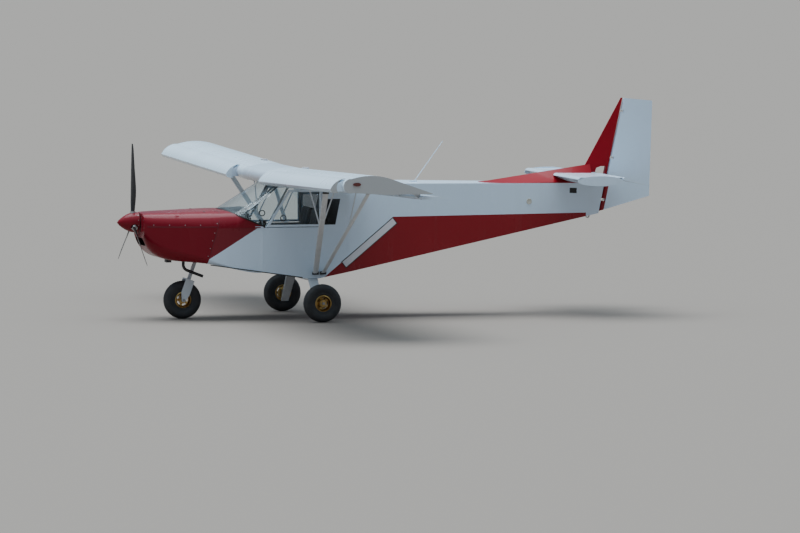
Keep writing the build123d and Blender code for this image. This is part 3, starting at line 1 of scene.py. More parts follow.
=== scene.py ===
# %% [markdown]
# # Dressing a high-wing ultralight
# The aircraft is a small two-seater of riveted sheet aluminium: flat fuselage sides, a thick
# straight wing on V struts, fat low-pressure tyres and a three-blade propeller. Its engineered
# pieces arrive as a fixed frame of CAD nodes. Here they get their finishes, and the small and soft
# pieces that CAD leaves out are modelled around them: rivets, seals, tyres with tread, seats.

# %% Load the frame
import itertools
import json
import math

import bmesh
import bpy
from mathutils import Matrix, Vector
from mathutils.bvhtree import BVHTree


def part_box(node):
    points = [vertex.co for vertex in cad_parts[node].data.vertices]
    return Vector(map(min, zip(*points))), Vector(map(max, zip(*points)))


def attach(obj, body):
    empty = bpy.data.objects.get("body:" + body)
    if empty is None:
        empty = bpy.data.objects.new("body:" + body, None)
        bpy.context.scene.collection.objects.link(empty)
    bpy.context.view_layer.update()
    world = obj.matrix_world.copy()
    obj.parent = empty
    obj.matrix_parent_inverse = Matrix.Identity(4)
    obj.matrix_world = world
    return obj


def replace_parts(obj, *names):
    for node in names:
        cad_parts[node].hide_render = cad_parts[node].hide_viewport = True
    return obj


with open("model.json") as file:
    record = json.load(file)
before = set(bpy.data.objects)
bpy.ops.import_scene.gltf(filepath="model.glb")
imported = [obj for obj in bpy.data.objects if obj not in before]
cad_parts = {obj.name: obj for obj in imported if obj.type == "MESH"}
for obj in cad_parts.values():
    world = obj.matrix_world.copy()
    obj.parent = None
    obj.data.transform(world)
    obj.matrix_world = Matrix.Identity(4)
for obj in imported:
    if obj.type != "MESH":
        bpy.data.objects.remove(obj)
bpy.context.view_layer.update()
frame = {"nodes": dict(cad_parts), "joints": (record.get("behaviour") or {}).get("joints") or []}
nodes = frame["nodes"]
pivots = {joint["name"]: Vector(joint["pos_m"]) for joint in frame["joints"]}
axle = pivots["main_wheel_left_spin"]

# %% [markdown]
# ## Stations
# Aircraft makers measure along the fuselage in stations. Ours count metres aft of the main wheels'
# axle, and `at` turns a station into the scene's X. Y is positive to starboard, and Z is up.

# %% Stations
PORT = -1
STARBOARD = 1
SIDES = (PORT, STARBOARD)


def at(station):
    return station + axle.x


def spot(station, y, z):
    return Vector((at(station), y, z))


# %% [markdown]
# ## Camera
# The photograph was taken from far off on the port side with a long lens, so perspective is nearly
# flat. A long focal length on a distant camera gives the same look: the near wing tip seems no
# larger than the far one.

# %% Camera
CAMERA_PLACE = Vector((-22.111, -88.285, 6.146))
CAMERA_TARGET = Vector((0.161, 0.0, 0.572))
FOCAL_LENGTH_MM = 348.2
SENSOR_WIDTH_MM = 36.0
FAR_CLIP = 900.0


def add_to_scene(name, data):
    made = bpy.data.objects.new(name, data)
    bpy.context.scene.collection.objects.link(made)
    return made


lens = bpy.data.cameras.new("long_lens")
lens.lens = FOCAL_LENGTH_MM
lens.sensor_width = SENSOR_WIDTH_MM
lens.clip_end = FAR_CLIP
camera = add_to_scene("camera", lens)
camera.location = CAMERA_PLACE
camera.rotation_euler = (CAMERA_TARGET - CAMERA_PLACE).to_track_quat("-Z", "Y").to_euler()
bpy.context.scene.camera = camera
print("camera distance", round((CAMERA_TARGET - CAMERA_PLACE).length, 1), "m")

# %% [markdown]
# ## Floor and light
# An overcast sky is one huge soft lamp, several times brighter overhead than at the horizon, and
# faintly blue. That is why wing tops glare while the sides stay calm and dark. A sky that runs from a
# dim horizon to a bright top gives it, and a broad sun behind cloud, nearly overhead, adds the last
# of the contrast. The floor is large and plain, and its bounce lights the wing from below.

# %% Floor and light
FLOOR_HALF = 320.0
FLOOR_COLOUR = (0.218, 0.178, 0.150, 1.0)
SKY_HORIZON = (0.105, 0.125, 0.155, 1.0)
SKY_ZENITH = (0.68, 0.87, 1.0, 1.0)
SKY_DIM_BELOW = 0.35
SKY_STRENGTH = 2.1
SUN_STRENGTH = 4.5
SUN_COLOUR = (0.84, 0.94, 1.0)
SUN_WIDTH_DEG = 50.0
SUN_TURN_DEG = (-9.0, -6.0, 0.0)


def plain_floor():
    bm = bmesh.new()
    bmesh.ops.create_grid(bm, x_segments=2, y_segments=2, size=FLOOR_HALF)
    mesh = bpy.data.meshes.new("floor")
    bm.to_mesh(mesh)
    bm.free()
    finish = bpy.data.materials.new("pale_floor")
    finish.use_nodes = True
    shader = finish.node_tree.nodes["Principled BSDF"]
    shader.inputs["Base Color"].default_value = FLOOR_COLOUR
    shader.inputs["Roughness"].default_value = 0.9
    mesh.materials.append(finish)
    add_to_scene("floor", mesh)


def overcast_sky():
    world = bpy.data.worlds.new("overcast")
    world.use_nodes = True
    tree = world.node_tree
    background = tree.nodes["Background"]
    coordinates = tree.nodes.new("ShaderNodeTexCoord")
    split = tree.nodes.new("ShaderNodeSeparateXYZ")
    ramp = tree.nodes.new("ShaderNodeValToRGB")
    stops = ((SKY_DIM_BELOW, SKY_HORIZON), (1.0, SKY_ZENITH))
    for element, (position, colour) in zip(ramp.color_ramp.elements, stops):
        element.position = position
        element.color = colour
    tree.links.new(coordinates.outputs["Generated"], split.inputs[0])
    tree.links.new(split.outputs["Z"], ramp.inputs["Fac"])
    tree.links.new(ramp.outputs["Color"], background.inputs["Color"])
    background.inputs["Strength"].default_value = SKY_STRENGTH
    bpy.context.scene.world = world


def veiled_sun():
    sun = bpy.data.lights.new("veiled_sun", "SUN")
    sun.energy = SUN_STRENGTH
    sun.angle = math.radians(SUN_WIDTH_DEG)
    sun.color = SUN_COLOUR
    lamp = add_to_scene("veiled_sun", sun)
    lamp.rotation_euler = [math.radians(turn) for turn in SUN_TURN_DEG]


plain_floor()
overcast_sky()
veiled_sun()
print("floor", 2 * FLOOR_HALF, "m wide, sky", SKY_STRENGTH, "sun", SUN_STRENGTH)

# %% [markdown]
# ## Small helpers for shader trees
# A material is a tree of nodes. A few helpers keep the cells short: they add a node with its
# settings, a math step, a mix of two colours, a noise or a mask, and open a new group with named
# sockets. An effect that several materials share, such as weathering, becomes a group, so it is
# built only once.

# %% Shader helpers
FLOAT = "NodeSocketFloat"
COLOUR = "NodeSocketColor"


def add_node(tree, kind, settings=None, values=None):
    made = tree.nodes.new(kind)
    for key, value in (settings or {}).items():
        setattr(made, key, value)
    for key, value in (values or {}).items():
        made.inputs[key].default_value = value
    return made


def calc(tree, operation, *terms, clamp=False):
    made = add_node(tree, "ShaderNodeMath", {"operation": operation, "use_clamp": clamp})
    for index, term in enumerate(terms):
        if isinstance(term, (int, float)):
            made.inputs[index].default_value = term
        else:
            tree.links.new(term, made.inputs[index])
    return made.outputs[0]


def mix_colour(tree, factor, first, second, mode="MIX"):
    made = add_node(tree, "ShaderNodeMix", {"data_type": "RGBA", "blend_type": mode})
    for index, term in ((0, factor), (6, first), (7, second)):
        if isinstance(term, bpy.types.NodeSocket):
            tree.links.new(term, made.inputs[index])
        else:
            made.inputs[index].default_value = term
    return made.outputs[2]


def open_group(name, inputs, outputs):
    tree = bpy.data.node_groups.new(name, "ShaderNodeTree")
    for label, kind, value in inputs:
        tree.interface.new_socket(name=label, in_out="INPUT", socket_type=kind).default_value = value
    for label, kind in outputs:
        tree.interface.new_socket(name=label, in_out="OUTPUT", socket_type=kind)
    return tree, tree.nodes.new("NodeGroupInput"), tree.nodes.new("NodeGroupOutput")


def object_xyz(tree):
    coordinates = add_node(tree, "ShaderNodeTexCoord")
    split = add_node(tree, "ShaderNodeSeparateXYZ")
    tree.links.new(coordinates.outputs["Object"], split.inputs[0])
    return coordinates.outputs["Object"], split.outputs


def noise(tree, place, scale, detail=2.0, stretch=(1.0, 1.0, 1.0)):
    mapping = add_node(tree, "ShaderNodeMapping", values={"Scale": stretch})
    texture = add_node(tree, "ShaderNodeTexNoise", values={"Scale": scale, "Detail": detail})
    tree.links.new(place, mapping.inputs["Vector"])
    tree.links.new(mapping.outputs[0], texture.inputs["Vector"])
    return texture.outputs["Fac"]


def ramp_mask(tree, value, low, high):
    made = add_node(tree, "ShaderNodeMapRange", {"clamp": True}, {"From Min": low, "From Max": high})
    tree.links.new(value, made.inputs["Value"])
    return made.outputs[0]


print("helpers ready")

# %% [markdown]
# ## Weathering group
# Paint on a field aircraft is never one flat colour. Rain draws faint vertical streaks, dust settles
# in soft clouds, and insects leave specks. Thin skins also wave a little between their ribs, which
# pilots call oil-canning. The group takes a colour and an amount of dirt, and puts out a colour, a
# roughness and a height for the bump.

# %% Weathering group
DUST = (0.150, 0.128, 0.105, 1.0)


def build_weathering():
    tree, given, out = open_group(
        "weathering",
        [("Colour", COLOUR, (0.8, 0.8, 0.8, 1.0)), ("Dirt", FLOAT, 0.3), ("Base Roughness", FLOAT, 0.25),
         ("Waves", FLOAT, 1.0)],
        [("Colour", COLOUR), ("Roughness", FLOAT), ("Height", FLOAT)],
    )
    place, _ = object_xyz(tree)
    cloud = noise(tree, place, 1.3, 4.0)
    streak = ramp_mask(tree, noise(tree, place, 1.0, 4.0, (9.0, 9.0, 0.8)), 0.52, 0.80)
    speck = ramp_mask(tree, noise(tree, place, 110.0, 1.0), 0.68, 0.76)
    peel = noise(tree, place, 420.0, 1.0)
    wave = noise(tree, place, 2.6, 1.0)
    patches = calc(tree, "MULTIPLY", ramp_mask(tree, cloud, 0.42, 0.75), 0.45)
    sum_one = calc(tree, "ADD", calc(tree, "MULTIPLY", streak, 0.55), patches)
    sum_two = calc(tree, "ADD", sum_one, calc(tree, "MULTIPLY", speck, 0.5))
    mask = calc(tree, "MULTIPLY", sum_two, given.outputs["Dirt"], clamp=True)
    shade = calc(tree, "ADD", calc(tree, "MULTIPLY", cloud, 0.12), 0.92)
    grey = add_node(tree, "ShaderNodeCombineColor")
    for channel in range(3):
        tree.links.new(shade, grey.inputs[channel])
    toned = mix_colour(tree, 1.0, given.outputs["Colour"], grey.outputs[0], "MULTIPLY")
    tree.links.new(mix_colour(tree, mask, toned, DUST), out.inputs["Colour"])
    rough = calc(tree, "ADD", given.outputs["Base Roughness"], calc(tree, "MULTIPLY", mask, 0.45))
    tree.links.new(calc(tree, "ADD", rough, calc(tree, "MULTIPLY", cloud, 0.06)), out.inputs["Roughness"])
    swell = calc(tree, "MULTIPLY", wave, given.outputs["Waves"])
    tree.links.new(calc(tree, "ADD", swell, calc(tree, "MULTIPLY", peel, 0.010)), out.inputs["Height"])
    return tree


weathering = build_weathering()
print("group", weathering.name)

# %% [markdown]
# ## Livery group
# The fuselage is white with red areas that a painter masked off with tape. Each edge of the tape is a
# straight line in side view, so a mask only has to compare a point's height with that line. The front
# area fills the corner above one slanted line, and the rear one lies below a level line and behind a
# slanted one. A last narrow strip runs up the rudder's front edge, as far as the stabilizer. Ahead of
# the front area's end the red is a darker copy: painted shade on the front of the aircraft.

# %% Livery group
# The front and rear tapes give a station, the height there and the rise per metre aft
FRONT_TAPE = (-1.31, 0.678, 0.618)
FRONT_END = -0.5
REAR_TAPE = (0.13, 0.490, 0.819)
REAR_TAPE_TOP = 1.188
REAR_TAPE_END = 3.42
# The post's strip gives a station, the height there and the run aft per metre up
POST_TAPE = (3.640, 1.189, 0.220)
POST_HALF = 0.026
POST_TOP = 1.53
# White paint whose blue cast is painted sky light
SKY_TINTED_WHITE = (0.64, 0.75, 0.87, 1.0)
RED = (0.245, 0.004, 0.011, 1.0)
# The same red made darker: painted shade for the cowl, spinner and front of the fuselage
SHADED_FRONT_RED = (0.185, 0.007, 0.016, 1.0)


def build_livery():
    tree, _, out = open_group("livery", [], [("Colour", COLOUR)])
    _, xyz = object_xyz(tree)

    def tape_height(station, height, slope):
        run = calc(tree, "SUBTRACT", xyz["X"], at(station))
        return calc(tree, "MULTIPLY_ADD", run, slope, height)

    front = calc(tree, "GREATER_THAN", xyz["Z"], tape_height(*FRONT_TAPE))
    ahead = calc(tree, "LESS_THAN", xyz["X"], at(FRONT_END))
    behind = calc(tree, "LESS_THAN", xyz["Z"], tape_height(*REAR_TAPE))
    low = calc(tree, "LESS_THAN", xyz["Z"], REAR_TAPE_TOP)
    short = calc(tree, "LESS_THAN", xyz["X"], at(REAR_TAPE_END))
    rear = calc(tree, "MULTIPLY", calc(tree, "MULTIPLY", behind, low), short)
    station, height, lean = POST_TAPE
    post_x = calc(tree, "MULTIPLY_ADD", calc(tree, "SUBTRACT", xyz["Z"], height), lean, at(station))
    off_post = calc(tree, "ABSOLUTE", calc(tree, "SUBTRACT", xyz["X"], post_x))
    beside_post = calc(tree, "LESS_THAN", off_post, POST_HALF)
    post = calc(tree, "MULTIPLY", beside_post, calc(tree, "LESS_THAN", xyz["Z"], POST_TOP))
    red = calc(tree, "MAXIMUM", calc(tree, "MAXIMUM", calc(tree, "MULTIPLY", front, ahead), rear), post)
    # Ahead of the front end the red is the darker copy, which is painted shade
    shade = mix_colour(tree, ahead, RED, SHADED_FRONT_RED)
    tree.links.new(mix_colour(tree, red, SKY_TINTED_WHITE, shade), out.inputs["Colour"])
    return tree


livery = build_livery()
print("group", livery.name)

# %% [markdown]
# ## Grain and weave groups
# Rubber, moulded plastic and cast metal share one thing: a fine irregular grain. Cloth has a regular
# one, made by two sets of threads that cross. Both groups put out a mask for the colour and a height
# for the bump, at a scale given in grains or threads to the metre.

# %% Grain and weave groups
def build_grain():
    tree, given, out = open_group(
        "grain", [("Scale", FLOAT, 300.0)], [("Mask", FLOAT), ("Height", FLOAT)]
    )
    place, _ = object_xyz(tree)
    fine = add_node(tree, "ShaderNodeTexVoronoi")
    soft = add_node(tree, "ShaderNodeTexNoise", values={"Scale": 14.0, "Detail": 5.0})
    tree.links.new(place, fine.inputs["Vector"])
    tree.links.new(place, soft.inputs["Vector"])
    tree.links.new(given.outputs["Scale"], fine.inputs["Scale"])
    tree.links.new(soft.outputs["Fac"], out.inputs["Mask"])
    tree.links.new(fine.outputs["Distance"], out.inputs["Height"])
    return tree


def build_weave():
    tree, given, out = open_group(
        "weave", [("Threads", FLOAT, 700.0)], [("Mask", FLOAT), ("Height", FLOAT)]
    )
    _, xyz = object_xyz(tree)
    turn = calc(tree, "MULTIPLY", given.outputs["Threads"], math.pi)
    along = calc(tree, "MULTIPLY", calc(tree, "ADD", xyz["X"], xyz["Z"]), turn)
    across = calc(tree, "MULTIPLY", xyz["Y"], turn)
    warp = calc(tree, "ABSOLUTE", calc(tree, "SINE", along))
    weft = calc(tree, "ABSOLUTE", calc(tree, "SINE", across))
    height = calc(tree, "MULTIPLY", warp, weft)
    tree.links.new(height, out.inputs["Height"])
    tree.links.new(calc(tree, "SUBTRACT", 1.0, height), out.inputs["Mask"])
    return tree


grain = build_grain()
weave = build_weave()
print("groups", grain.name, weave.name)

# %% [markdown]
# ## Painted skins
# Aircraft enamel is a coloured layer under a clear gloss. The Principled shader has that second layer
# as its coat. White skins, red skins and the masked fuselage share one recipe and differ in the
# colour that goes in, and in how dirty and how wavy the skin is. Wings and slats take a lighter,
# bluer copy of the white: a painted highlight for the bright sky on their tops. The end ribs at the
# tips of the wings and slats are a duller grey, so those skins change colour past a set distance from
# the middle.

# %% Painted skins
TIP_GREY = (0.40, 0.40, 0.40, 1.0)
TIP_RIB = 0.012
# The white made lighter and bluer: painted highlight for the bright sky on the wings' tops
LIT_WING_WHITE = (0.74, 0.87, 0.98, 1.0)


def start_material(name):
    made = bpy.data.materials.new(name)
    made.use_nodes = True
    return made, made.node_tree, made.node_tree.nodes["Principled BSDF"]


def place_group(tree, group, **values):
    made = tree.nodes.new("ShaderNodeGroup")
    made.node_tree = group
    for key, value in values.items():
        made.inputs[key.replace("_", " ")].default_value = value
    return made


def bump_from(tree, shader, height, distance):
    bump = add_node(tree, "ShaderNodeBump", values={"Distance": distance, "Strength": 1.0})
    tree.links.new(height, bump.inputs["Height"])
    tree.links.new(bump.outputs["Normal"], shader.inputs["Normal"])


def painted(name, colour=None, dirt=0.25, roughness=0.24, coat=0.4, waves=1.0, gloss=0.4, tip=None):
    made, tree, shader = start_material(name)
    wear = place_group(tree, weathering, Dirt=dirt, Base_Roughness=roughness, Waves=waves)
    if colour is None:
        mask = place_group(tree, livery)
        tree.links.new(mask.outputs["Colour"], wear.inputs["Colour"])
    else:
        wear.inputs["Colour"].default_value = colour
    shown = wear.outputs["Colour"]
    if tip:
        _, xyz = object_xyz(tree)
        end_face = calc(tree, "GREATER_THAN", calc(tree, "ABSOLUTE", xyz["Y"]), tip)
        shown = mix_colour(tree, end_face, shown, TIP_GREY)
    tree.links.new(shown, shader.inputs["Base Color"])
    tree.links.new(wear.outputs["Roughness"], shader.inputs["Roughness"])
    bump_from(tree, shader, wear.outputs["Height"], 0.0012)
    shader.inputs["Coat Weight"].default_value = coat
    shader.inputs["Coat Roughness"].default_value = 0.06
    shader.inputs["Specular IOR Level"].default_value = gloss
    return made


def tip_of(node):
    return -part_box(node)[0].y - TIP_RIB


white_paint = painted("white_enamel", SKY_TINTED_WHITE, dirt=0.20)
wing_paint = painted("wing_enamel", LIT_WING_WHITE, dirt=0.06, waves=0.4, tip=tip_of("wing_left"))
slat_paint = painted("slat_enamel", LIT_WING_WHITE, dirt=0.06, waves=0.3, tip=tip_of("slat_left"))
red_paint = painted("red_enamel", RED, dirt=0.02, roughness=0.34, coat=0.05, gloss=0.08)
# The cowl's darker red is painted shade, not a different paint
cowl_paint = painted("shaded_red_gelcoat", SHADED_FRONT_RED, dirt=0.03, coat=0.12, waves=0.35, gloss=0.08)
fuselage_paint = painted("masked_enamel", dirt=0.09, coat=0.2, gloss=0.2)
strut_paint = painted("strut_enamel", (0.72, 0.75, 0.78, 1.0), dirt=0.30, waves=0.1)
leg_paint = painted("gear_enamel", (0.62, 0.66, 0.70, 1.0), dirt=0.50, roughness=0.35, waves=0.1)
moulded_white = painted("white_gelcoat", SKY_TINTED_WHITE, dirt=0.14, coat=0.6, waves=0.3)
print("paints", [m.name for m in (white_paint, red_paint, cowl_paint, fuselage_paint)])

# %% [markdown]
# ## Metals
# Bare aluminium sheet shows fine rolling lines and dull patches, steel fittings have a darker satin
# look, and the wheel rims wear a gold finish. A metal keeps its Metallic value on the shader's own
# socket, and only roughness, colour and height change over the surface.

# %% Metals
def tone(colour, factor):
    return tuple(channel * factor for channel in colour[:3]) + (1.0,)


def spread_roughness(tree, shader, mask, middle, spread):
    """A roughness that runs half the spread to each side of its middle."""
    rough = calc(tree, "MULTIPLY_ADD", mask, spread, middle - spread / 2)
    tree.links.new(rough, shader.inputs["Roughness"])


def metal(name, colour, roughness, lines=(60.0, 60.0, 3.0), shade=0.25, metallic=1.0):
    made, tree, shader = start_material(name)
    place, _ = object_xyz(tree)
    brushed = noise(tree, place, 8.0, 6.0, lines)
    patch = noise(tree, place, 9.0, 3.0)
    dull = mix_colour(tree, patch, colour, tone(colour, 1.0 - shade))
    tree.links.new(dull, shader.inputs["Base Color"])
    spread_roughness(tree, shader, brushed, roughness, 0.22)
    bump_from(tree, shader, brushed, 0.00006)
    shader.inputs["Metallic"].default_value = metallic
    return made


bare_metal = metal("bare_aluminium", (0.62, 0.63, 0.64, 1.0), 0.36)
steel_metal = metal("satin_steel", (0.38, 0.38, 0.39, 1.0), 0.34, (12.0, 12.0, 12.0))
gold_metal = metal("gold_wheel", (0.62, 0.40, 0.13, 1.0), 0.32, (10.0, 10.0, 10.0), shade=0.4)
cast_metal = metal("cast_engine", (0.22, 0.22, 0.225, 1.0), 0.55, (30.0, 30.0, 30.0))
black_metal = metal("black_steel", (0.030, 0.030, 0.032, 1.0), 0.50, (20.0, 20.0, 20.0), metallic=0.0)
tube_metal = metal("grey_tube", (0.34, 0.35, 0.36, 1.0), 0.42, (20.0, 20.0, 20.0), metallic=0.0)
print("metals ready")

# %% [markdown]
# ## Plastics, rubber and cloth
# Moulded plastic and rubber take the grain group, the seat covers and belts take the weave. Dust
# settles on them in soft patches, as a pale film over the colour. Tyres carry most of it, and a
# clean moulding or a dial hardly any.

# %% Plastics, rubber and cloth
def grained(name, colour, roughness, scale=420.0, depth=0.0002, dust=0.35):
    made, tree, shader = start_material(name)
    body = place_group(tree, grain, Scale=scale)
    worn = tuple(c + (d - c) * 0.35 for c, d in zip(colour[:3], DUST[:3])) + (1.0,)
    mask = calc(tree, "MULTIPLY", ramp_mask(tree, body.outputs["Mask"], 0.45, 0.8), dust)
    tree.links.new(mix_colour(tree, mask, colour, worn), shader.inputs["Base Color"])
    spread_roughness(tree, shader, body.outputs["Mask"], roughness, 0.2)
    bump_from(tree, shader, body.outputs["Height"], depth)
    return made


def woven(name, colour, threads, depth=0.0004):
    made, tree, shader = start_material(name)
    cloth = place_group(tree, weave, Threads=threads)
    place, _ = object_xyz(tree)
    fade = mix_colour(tree, noise(tree, place, 7.0, 4.0), colour, tone(colour, 1.3))
    threads_apart = mix_colour(tree, cloth.outputs["Mask"], fade, tone(colour, 0.55))
    tree.links.new(threads_apart, shader.inputs["Base Color"])
    shader.inputs["Roughness"].default_value = 0.85
    shader.inputs["Sheen Weight"].default_value = 0.35
    bump_from(tree, shader, cloth.outputs["Height"], depth)
    return made


tyre_rubber = grained("tyre_rubber", (0.024, 0.024, 0.026, 1.0), 0.72, 300.0, 0.0003, 0.5)
seal_rubber = grained("seal_rubber", (0.012, 0.012, 0.013, 1.0), 0.6)
panel_plastic = grained("panel_plastic", (0.035, 0.035, 0.038, 1.0), 0.55, 900.0)
foam_grip = grained("foam_grip", (0.02, 0.02, 0.021, 1.0), 0.9, 1200.0, 0.0005)
blade_black = grained("blade_lacquer", (0.014, 0.014, 0.016, 1.0), 0.30, 160.0, 0.00004, 0.3)
cap_plastic = grained("cap_plastic", (0.50, 0.46, 0.48, 1.0), 0.4)
pale_plastic = grained("pale_plastic", (0.52, 0.49, 0.42, 1.0), 0.45, dust=0.2)
ink_white = grained("dial_white", (0.75, 0.75, 0.72, 1.0), 0.5, dust=0.0)
plate_white = grained("plate_white", (0.66, 0.64, 0.67, 1.0), 0.4, dust=0.15)
seat_cloth = woven("seat_cloth", (0.055, 0.058, 0.066, 1.0), 420.0)
belt_cloth = woven("belt_webbing", (0.030, 0.030, 0.034, 1.0), 900.0)
print("soft finishes ready")

# %% [markdown]
# ## Clear acrylic and lamps
# The windshield is a bent acrylic sheet. It is modelled with its real thickness, so the shader can
# let light through both faces. Real sheets carry a faint haze of dust and wiping marks, which shows
# as a slight change in roughness. Light crosses a thin sheet almost straight, so the index is close to
# one, and a coat gives back the shine that this takes away. The wing-tip lamps are red on the port
# side and green on the other.

# %% Clear acrylic and lamps
SHEET_IOR = 1.04
SHEET_GLOSS = 0.30
LAMP_RED = (0.10, 0.006, 0.006, 1.0)
LAMP_GREEN = (0.01, 0.22, 0.06, 1.0)
LAMP_FLUTES = 900.0


def clear_sheet(name, tint):
    made, tree, shader = start_material(name)
    place, _ = object_xyz(tree)
    haze = ramp_mask(tree, noise(tree, place, 3.5, 6.0, (1.0, 1.0, 2.5)), 0.45, 0.85)
    tree.links.new(calc(tree, "MULTIPLY_ADD", haze, 0.10, 0.015), shader.inputs["Roughness"])
    shader.inputs["Base Color"].default_value = tint
    shader.inputs["Transmission Weight"].default_value = 1.0
    shader.inputs["IOR"].default_value = SHEET_IOR
    shader.inputs["Coat Weight"].default_value = SHEET_GLOSS
    return made


def lamp_lens(name):
    made, tree, shader = start_material(name)
    place, xyz = object_xyz(tree)
    starboard = calc(tree, "GREATER_THAN", xyz["Y"], 0.0)
    tree.links.new(mix_colour(tree, starboard, LAMP_RED, LAMP_GREEN), shader.inputs["Base Color"])
    flutes = calc(tree, "SINE", calc(tree, "MULTIPLY", xyz["X"], LAMP_FLUTES))
    bump_from(tree, shader, flutes, 0.0004)
    tree.links.new(noise(tree, place, 90.0), shader.inputs["Coat Weight"])
    shader.inputs["Roughness"].default_value = 0.12
    return made


clear_acrylic = clear_sheet("clear_acrylic", (0.86, 0.93, 0.96, 1.0))
tinted_acrylic = clear_sheet("door_acrylic", (0.80, 0.86, 0.88, 1.0))
smoked_acrylic = clear_sheet("rear_acrylic", (0.20, 0.22, 0.25, 1.0))
lamp_glass = lamp_lens("lamp_glass")
print("clear finishes ready")

# %% [markdown]
# ## Finishes for the CAD nodes
# Each CAD node keeps its mesh and gets its finish through its material slots. One table says which
# node wears what. The seats and tyres are missing here, because modelled pieces stand for them later.

# %% Finishes for the CAD nodes
FINISHES = {
    cowl_paint: ["cowl_upper", "cowl_lower", "spinner"],
    red_paint: ["forward_deck", "fin", "dorsal_fairing"],
    fuselage_paint: ["cabin_tub", "rear_fuselage", "rudder"],
    white_paint: ["rear_cabin_skin", "stabilizer", "flaperon_left", "flaperon_right", "elevator",
                  "wing_center", "slat_brackets"],
    wing_paint: ["wing_left", "wing_right"],
    slat_paint: ["slat_left", "slat_right"],
    moulded_white: ["antenna", "door_frame_left", "door_frame_right"],
    strut_paint: ["wing_struts", "jury_struts"],
    leg_paint: ["main_gear_leaf", "nose_fork"],
    bare_metal: ["bulkheads", "seat_pan", "flaperon_brackets", "tail_hinges", "nose_leg_bearings",
                 "prop_hub"],
    black_metal: ["strut_fittings", "cowl_outlet", "exhaust_pipe"],
    steel_metal: ["main_axles", "nose_axle", "door_hinges", "tail_tiedown"],
    gold_metal: ["main_rim_left", "main_rim_right", "nose_rim"],
    cast_metal: ["engine_block"],
    tube_metal: ["cabin_frame", "control_stick"],
    panel_plastic: ["instrument_panel"],
    clear_acrylic: ["windshield"],
    tinted_acrylic: ["door_window_left", "door_window_right"],
    smoked_acrylic: ["rear_windows"],
    blade_black: ["propeller_blades"],
    cap_plastic: ["fuel_caps"],
    lamp_glass: ["nav_lights"],
}
dressed = 0
for finish, names in FINISHES.items():
    for name in names:
        for material_slot in nodes[name].material_slots:
            material_slot.material = finish
        dressed += 1
print("dressed", dressed, "of", len(nodes), "nodes")

# %% [markdown]
# ## Tools for new pieces
# Every new piece starts as a bmesh, gets its shape from operators, and becomes an object that rides
# on a body of the frame. `finish_piece` does the last steps for all of them: it writes the mesh,
# smooths the soft edges, gives the finish and says what the piece rides on.

# %% Tools for new pieces
SHARP_ANGLE = math.radians(32.0)
made_pieces = {}


def finish_piece(bm, name, body, material):
    mesh = bpy.data.meshes.new(name)
    bm.to_mesh(mesh)
    bm.free()
    mesh.shade_smooth()
    mesh.set_sharp_from_angle(angle=SHARP_ANGLE)
    mesh.materials.append(material)
    piece = add_to_scene(name, mesh)
    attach(piece, body)
    made_pieces[name] = sum(len(face.vertices) - 2 for face in mesh.polygons)
    print(name, made_pieces[name], "triangles")
    return piece


def skin_of(*names):
    """One search tree over the faces of several CAD nodes."""
    bm = bmesh.new()
    for name in names:
        bm.from_mesh(nodes[name].data)
    tree = BVHTree.FromBMesh(bm)
    bm.free()
    return tree


def first_hit(tree, start, look):
    """Where a ray first meets the faces, and the normal there that points back along it."""
    place, normal, _, _ = tree.ray_cast(start, look)
    if place is None:
        return None
    if normal.dot(look) > 0.0:
        normal = -normal
    return place, normal


print("piece tools ready")

# %% [markdown]
# ## Rivets
# A riveted aircraft has thousands of pulled rivets with low domed heads about 6 mm across. Each one is
# a short six-sided cone, so that thousands stay cheap. A row starts as a straight line in space, and
# every head is dropped onto the skin with a ray, so it sits on the surface and turns with it.

# %% Rivet tools
HEAD_RADIUS = 0.0032
HEAD_RISE = 0.0016
RIVET_PITCH = 0.045
DROP = 0.4


def on_surface(place, normal, lift):
    """The matrix that stands a shape on a surface, with its middle raised by lift."""
    turn = normal.to_track_quat("Z", "Y").to_matrix().to_4x4()
    return Matrix.Translation(place + normal * lift) @ turn


def add_head(bm, place, normal, radius=HEAD_RADIUS, rise=HEAD_RISE, sides=6):
    bmesh.ops.create_cone(bm, cap_ends=True, segments=sides, radius1=radius, radius2=radius * 0.6,
                          depth=rise, matrix=on_surface(place, normal, rise * 0.45))


def rivet_row(bm, tree, start, end, look, pitch):
    look = Vector(look).normalized()
    count = max(1, round((end - start).length / pitch))
    for index in range(count + 1):
        point = start.lerp(end, index / count)
        found = first_hit(tree, point - look * DROP, look)
        if found and (found[0] - point).length < DROP:
            add_head(bm, *found)


print("head", HEAD_RADIUS * 2000, "mm across")

# %% [markdown]
# The fuselage is built over frames. Rows follow its edges, the firewall, the door posts, the bulkheads
# and the stiffeners between them, on both sides, below and on top. A few tables hold the rows, as
# stations and heights, and two small functions say where the belly and the leaning firewall run.

# %% Fuselage rivets
BELLY_FLAT_HALF = 0.075
BELLY_RISE_AHEAD = 0.147
BELLY_RISE_AFT = 0.1983
FIREWALL_FOOT = (-1.236, 0.731)
FIREWALL_LEAN = 0.283
UP = (0, 0, 1)
DOWN = (0, 0, -1)


def belly_height(station):
    flat_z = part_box("cabin_tub")[0].z
    rise = BELLY_RISE_AHEAD if station < 0.0 else BELLY_RISE_AFT
    return flat_z + max(abs(station) - BELLY_FLAT_HALF, 0.0) * rise


def rake_station(z):
    """Where the leaning firewall stands at a height."""
    return FIREWALL_FOOT[0] + (z - FIREWALL_FOOT[1]) * FIREWALL_LEAN


TOP_FRONT_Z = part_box("rear_fuselage")[1].z
POST_STATIONS = (-0.60, 0.128, 0.425)
SKIN_FRAMES = (0.46, 1.02, 1.62, 2.22, 2.80, 3.30)
WIDE_PITCH = 0.06
CLOSE_PITCH = 0.05
SIDE_PLANE = 0.35
